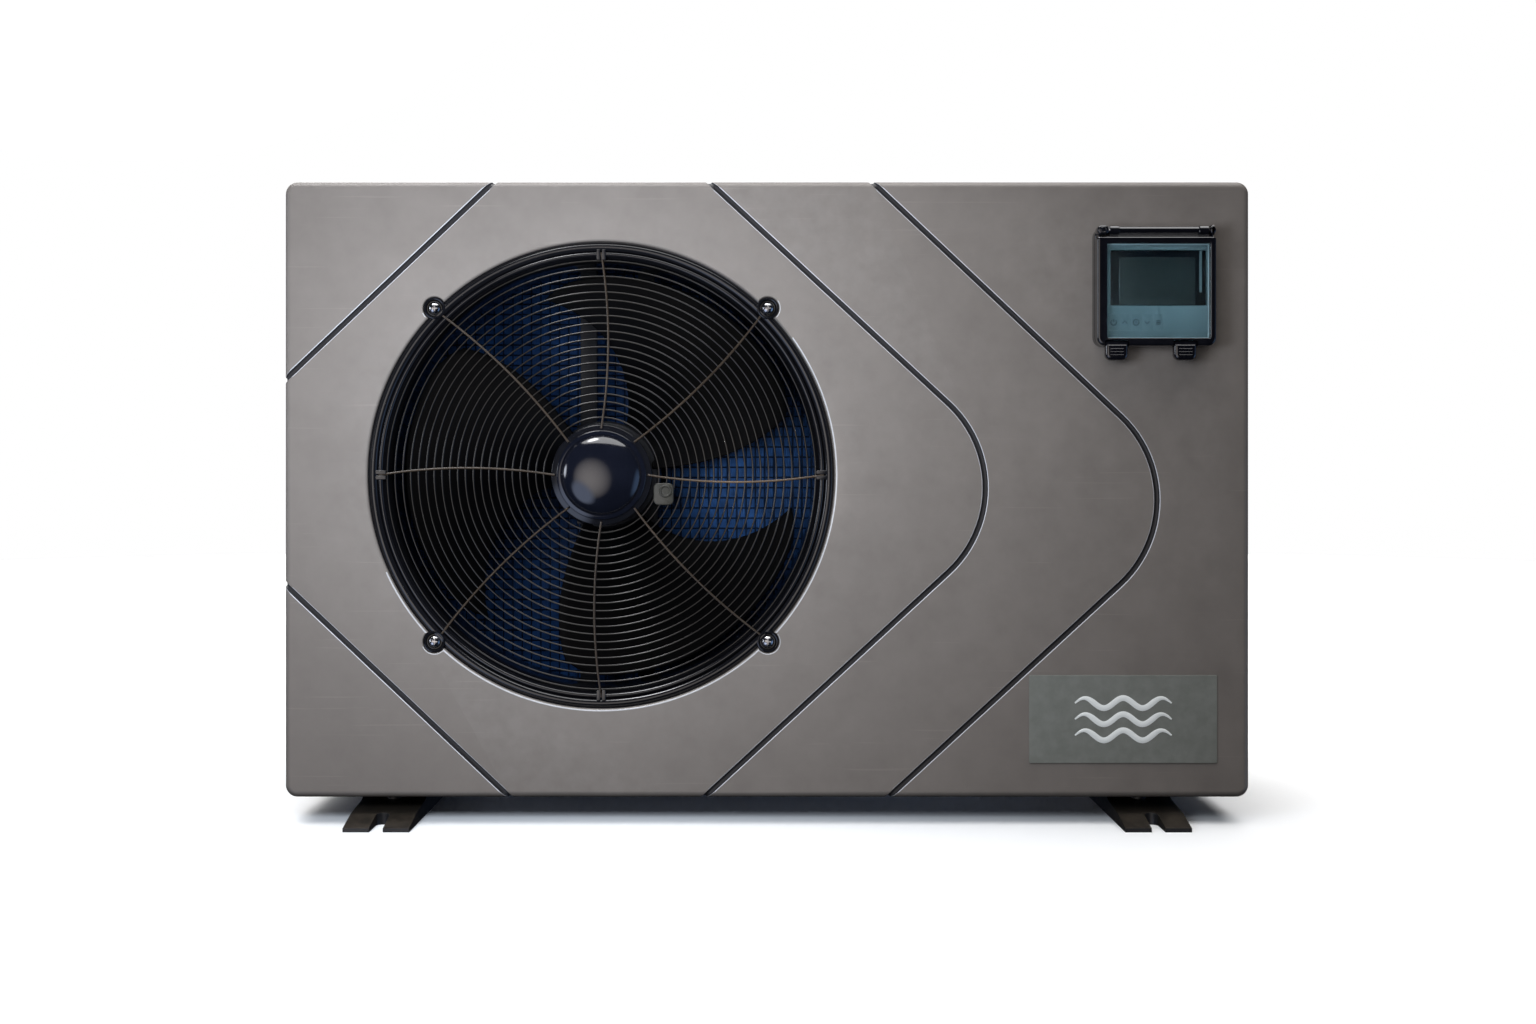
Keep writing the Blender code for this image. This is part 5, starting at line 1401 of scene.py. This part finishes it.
def make_unions():
    """Grip-ribbed union nuts, each over a plain tailpiece."""
    for name in ("inlet", "outlet"):
        low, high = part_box(f"{name}_union_nut")
        centre = Vector(((low.x + high.x) / 2, 0, (low.z + high.z) / 2))
        bm = bmesh.new()
        first, last = ribbed(bm, 34 * MM, 2.4 * MM, 16, low.y, high.y - 2 * MM, centre, 192)
        bore = ring_about(bm, centre, high.y, lambda turn: 28.4 * MM, 192)
        bore_back = [bm.verts.new(v.co + Vector((0, low.y - high.y, 0))) for v in bore]
        bridge(bm, last, bore)
        bridge(bm, bore, bore_back)
        bridge(bm, bore_back, first)
        make(
            f"{name}_nut_sleeve", bm, GREY_PVC, body=f"{name}_nut",
            replaces=(f"{name}_union_nut",),
        )
        low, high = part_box(f"{name}_tailpiece")
        bm = bmesh.new()
        outer, inner = 25 * MM, 19 * MM
        profile = fillet(
            [(inner, low.y), (28 * MM, low.y), (28 * MM, low.y + 6 * MM), (outer, low.y + 8 * MM),
             (outer, high.y - 6 * MM), (outer + 0.8 * MM, high.y - 5 * MM), (outer + 0.8 * MM, high.y),
             (inner + 1.2 * MM, high.y), (inner, high.y - 1.5 * MM)], 0.8 * MM, 3,
        )
        lathe(bm, profile, centre, "Y", 96, closed=True)
        make(
            f"{name}_tail", bm, WHITE_PVC, replaces=(f"{name}_tailpiece",),
        )


def make_gland():
    """A nylon cable gland: hexagon, thread and domed cap, open where a cable would go."""
    low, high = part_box("cable_gland")
    centre = Vector(((low.x + high.x) / 2, 0, (low.z + high.z) / 2))
    bore = 4 * MM
    bm = bmesh.new()
    hexagon = 13.4 * MM
    face = REAR_Y + 0.4 * MM
    rings = []
    for along, scale in ((0, 0.97), (0.8, 1.0), (5.2, 1.0), (6, 0.95)):
        def reach(turn):
            flat = math.cos(math.pi / 6) / math.cos((turn % (math.pi / 3)) - math.pi / 6)
            return hexagon * flat * scale
        rings.append(ring_about(bm, centre, face + along * MM, reach, 60))
    skin(bm, rings, (True, True))
    dome = [(bore, face + 5.5 * MM), (11.2 * MM, face + 5.5 * MM), (11.2 * MM, face + 15 * MM)]
    dome += [(10.4 * MM, face + 18 * MM), (8.2 * MM, face + 20.6 * MM), (5.6 * MM, high.y)]
    dome += [(bore, high.y - 0.3 * MM)]
    lathe(bm, fillet(dome, 1.5 * MM, 4), centre, "Y", 64, closed=True)
    for thread in range(6):
        along = low.y + (3 + 2 * thread) * MM
        lathe(bm, wire_section(9.3 * MM, along, 0.9 * MM, 8), centre, "Y", 48, closed=True)
    stem = [(bore, low.y), (9.2 * MM, low.y), (9.2 * MM, face + MM), (bore, face + MM)]
    lathe(bm, stem, centre, "Y", 48, closed=True)
    make("gland_fitting", bm, MATT_BLACK, replaces=("cable_gland",), sharp=32)


# ---------------------------------------------------------------- inside


def fin_strip(bm, axis, line, low_z, high_z):
    """One thin upright fin along a line of (aside, along) points."""
    thick = 0.3 * MM
    outline = list(line) + [(aside + thick, along) for aside, along in reversed(line)]
    rows = []
    for height in (low_z, high_z):
        row = [(u, v) if axis == "X" else (v, u) for u, v in outline]
        rows.append([bm.verts.new((x, y, height)) for x, y in row])
    skin(bm, rows, (True, True))


def make_coil():
    """The L-shaped evaporator: rippled blue fins, louvred along their front, on copper tubes; the
    rippled fins are painted a darker blue as shade, the louvres keep the plain blue.
    """
    low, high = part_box("evaporator_side_fins")[0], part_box("evaporator_rear_fins")[1]
    depth, arm = 35 * MM, 28 * MM
    front = high.y - depth
    side = low.x + arm
    pitch, pack = 2.2 * MM, 5
    louvre_deep, cell, slit = 4 * MM, 12 * MM, 2.0 * MM
    ripple, lean = 1.25 * MM, 1.9 * MM
    columns = int((high.x - side - MM) / pitch)
    bm = bmesh.new()
    folds = [front + louvre_deep + 0.3 * MM + (depth - louvre_deep - 0.3 * MM) * k / 8 for k in range(9)]
    for index in range(columns):
        place = side + MM + index * pitch
        line = [(place + ripple * (-1) ** k, along) for k, along in enumerate(folds)]
        fin_strip(bm, "X", line, low.z, high.z)
    folds = [low.x + 0.001 + (arm - 0.001) * k / 8 for k in range(9)]
    for index in range(int((high.y - low.y) / pitch)):
        place = low.y + MM + index * pitch
        line = [(place + ripple * (-1) ** k, along) for k, along in enumerate(folds)]
        fin_strip(bm, "Y", line, low.z, high.z)
    # The rippled fins take the darker blue, painted shade for the depth of the coil
    make(
        "coil_fins", bm, BLUE_FINS_PAINTED_SHADE, replaces=("evaporator_rear_fins", "evaporator_side_fins"),
        sharp=20,
    )

    bm = bmesh.new()
    for index in range(columns):
        if index % pack == pack - 1:
            continue
        place = side + MM + index * pitch
        line = [(place, front), (place + lean, front + louvre_deep)]
        for row in range(int((high.z - low.z) / cell)):
            base = low.z + row * cell
            fin_strip(bm, "X", line, base, base + cell - slit)
    make("coil_fin_louvres", bm, BLUE_FINS, sharp=20)

    bm = bmesh.new()
    for row in range(23):
        height = low.z + 20 * MM + row * 25 * MM
        for y in (front + 14 * MM, front + 27 * MM):
            tube(bm, [(side, y, height), (high.x + 6 * MM, y, height)], 4.6 * MM, 10)
        left = low.x + arm / 2
        tube(bm, [(left, low.y - 3 * MM, height), (left, front, height)], 4.6 * MM, 10)
    make("coil_tubes", bm, COPPER)


INSIDE = {
    "base_pan": GALVANISED, "divider_panel": GALVANISED, "motor_bracket": MATT_BLACK,
    "coil_end_plate_left": GALVANISED, "coil_end_plate_right": GALVANISED,
    "control_box": GALVANISED, "control_box_cover": GALVANISED, "main_board": BOARD,
    "fan_motor": ENAMEL, "fan_shaft": SCREW_STEEL,
    "compressor": ENAMEL, "accumulator": ENAMEL, "reversing_valve": COPPER,
    "discharge_pipe": COPPER, "suction_pipe": COPPER, "expansion_valve_line": COPPER,
    "exchanger_shell": GREY_PVC, "exchanger_cap": GREY_PVC, "titanium_coil": TITANIUM,
    "water_inlet_pipe": WHITE_PVC, "water_outlet_pipe": WHITE_PVC, "flow_switch": MATT_BLACK,
    "drain_stub": MATT_BLACK, "cover_hinge_pin": SCREW_STEEL,
}


def dress_inside():
    """Finishes for the CAD pieces that stay, with their edges softened."""
    for name, look in INSIDE.items():
        node = NODES[name]
        node.data.materials.clear()
        node.data.materials.append(look)
        node.data.shade_smooth()
        soften(node, 0.3 * MM)


# ---------------------------------------------------------------- stage


def make_floor():
    """A plain pale floor, lit to the same white as the backdrop."""
    look = finish(
        "studio_floor", (0.90, 0.90, 0.90), 0.75, mottle=0.003, grain=0.02, rough_vary=0.02,
        specular=0.1,
    )
    bm = bmesh.new()
    bmesh.ops.create_circle(bm, cap_ends=True, radius=5.0, segments=96)
    floor = make("floor", bm, look, body=None)
    floor.visible_diffuse = False
    floor.visible_glossy = False


def hang(light, place, target, shown=False):
    """Places a light and turns it to its target; only a light that is shown is reflected."""
    lamp = bpy.data.objects.new(light.name, light)
    lamp.visible_camera = shown
    lamp.visible_glossy = shown
    lamp.location = place
    lamp.rotation_euler = (Vector(target) - Vector(place)).to_track_quat("-Z", "Y").to_euler()
    bpy.context.scene.collection.objects.link(lamp)


def area_light(name, place, target, size, power, colour=(1, 1, 1)):
    light = bpy.data.lights.new(name, "AREA")
    light.shape = "RECTANGLE"
    light.size, light.size_y = size
    light.energy = power
    light.color = colour
    light.spread = math.radians(125)
    hang(light, place, target)


def sun(name, place, power, angle):
    """Light from one side of the sky, as wide as its angle."""
    light = bpy.data.lights.new(name, "SUN")
    light.energy = power
    light.angle = math.radians(angle)
    hang(light, place, (0, 0, 0), shown=True)


SHINE = (
    ((-0.34, -1.0, -0.10), 0.885, 0.999, (1.75, 1.62, 1.55, 1)),
    ((-1.0, -0.20, 0.10), 0.985, 0.995, (5.0, 5.3, 5.9, 1)),
    ((-0.55, -0.75, -0.45), 0.93, 0.975, (0.9, 1.05, 1.45, 1)),
    ((1.0, -0.25, -0.25), 0.90, 0.98, (0.30, 0.50, 0.90, 1)),
    ((-0.30, -0.25, 0.92), 0.986, 0.994, (16, 16, 16.5, 1)),
)


def make_world():
    """White to the camera, dim to surfaces, with soft pale patches that shine in gloss."""
    world = bpy.data.worlds.new("studio")
    bpy.context.scene.world = world
    world.use_nodes = True
    tree = world.node_tree
    rays = tree.nodes.new("ShaderNodeLightPath").outputs
    way = tree.nodes.new("ShaderNodeTexCoord").outputs["Generated"]
    shine = (0.006, 0.009, 0.016, 1)
    for direction, none_at, full_at, colour in SHINE:
        towards = tree.nodes.new("ShaderNodeVectorMath")
        towards.operation = "DOT_PRODUCT"
        tree.links.new(way, towards.inputs[0])
        towards.inputs[1].default_value = Vector(direction).normalized()
        share = remap(tree, towards.outputs["Value"], none_at, full_at, 0.0, 1.0)
        shine = blend_colours(tree, share, shine, colour)
    lit = blend_colours(tree, rays["Is Glossy Ray"], (0.10, 0.10, 0.10, 1), shine)
    colour = blend_colours(tree, rays["Is Camera Ray"], lit, (1, 1, 1, 1))
    tree.links.new(colour, tree.nodes["Background"].inputs["Color"])


def make_lights():
    """Two soft lights near the face, strongest up and left, and even light from above."""
    cool, pale = (0.78, 0.875, 1.0), (0.91, 0.95, 1.0)
    area_light("left_key", (-0.31, -0.80, 0.47), (-0.22, -0.19, 0.48), (0.4, 0.3), 4.7, cool)
    area_light("top_key", (0.06, -0.82, 0.60), (0.02, -0.19, 0.52), (0.4, 0.3), 0.95, pale)
    coil_lamp = bpy.data.lights.new("coil_lamp", "SPOT")
    coil_lamp.energy = 150
    coil_lamp.spot_size = math.radians(8.5)
    coil_lamp.spot_blend = 0.8
    coil_lamp.shadow_soft_size = 0.05
    hang(coil_lamp, (-0.045, -1.2, 0.37), (-0.02, 0.092, 0.337))
    sun("above", (0, -0.07, 3), 3.7, 72)
    sun("behind", (-0.9, 2.0, 1.3), 1.3, 40)


def make_camera():
    """The viewpoint: level, 1.5 m in front of the face and a little left of its middle."""
    camera = bpy.data.cameras.new("camera")
    camera.sensor_width = 36
    camera.lens = 35.375
    camera.shift_x = 0.0091
    camera.shift_y = -0.028
    holder = bpy.data.objects.new("camera", camera)
    holder.location = (-0.0129, FRONT_Y - 1.5, 0.354)
    holder.rotation_euler = (math.pi / 2, 0, 0)
    bpy.context.scene.collection.objects.link(holder)
    bpy.context.scene.camera = holder


make_front_panel()
make_side_panels()
make_top_cover()
make_rear()
make_feet()
make_badge()
make_shroud()
make_guard()
make_hub_cap()
make_guard_screws()
make_fan()
make_controller_base()
make_hinge_ears()
make_display_unit()
make_screen()
make_keys()
make_cover_shell()
make_cover_knuckles()
make_cover_window()
make_latches()
make_unions()
make_gland()
make_coil()
dress_inside()
make_floor()
make_world()
make_lights()
make_camera()
bpy.context.scene.view_settings.view_transform = "Standard"
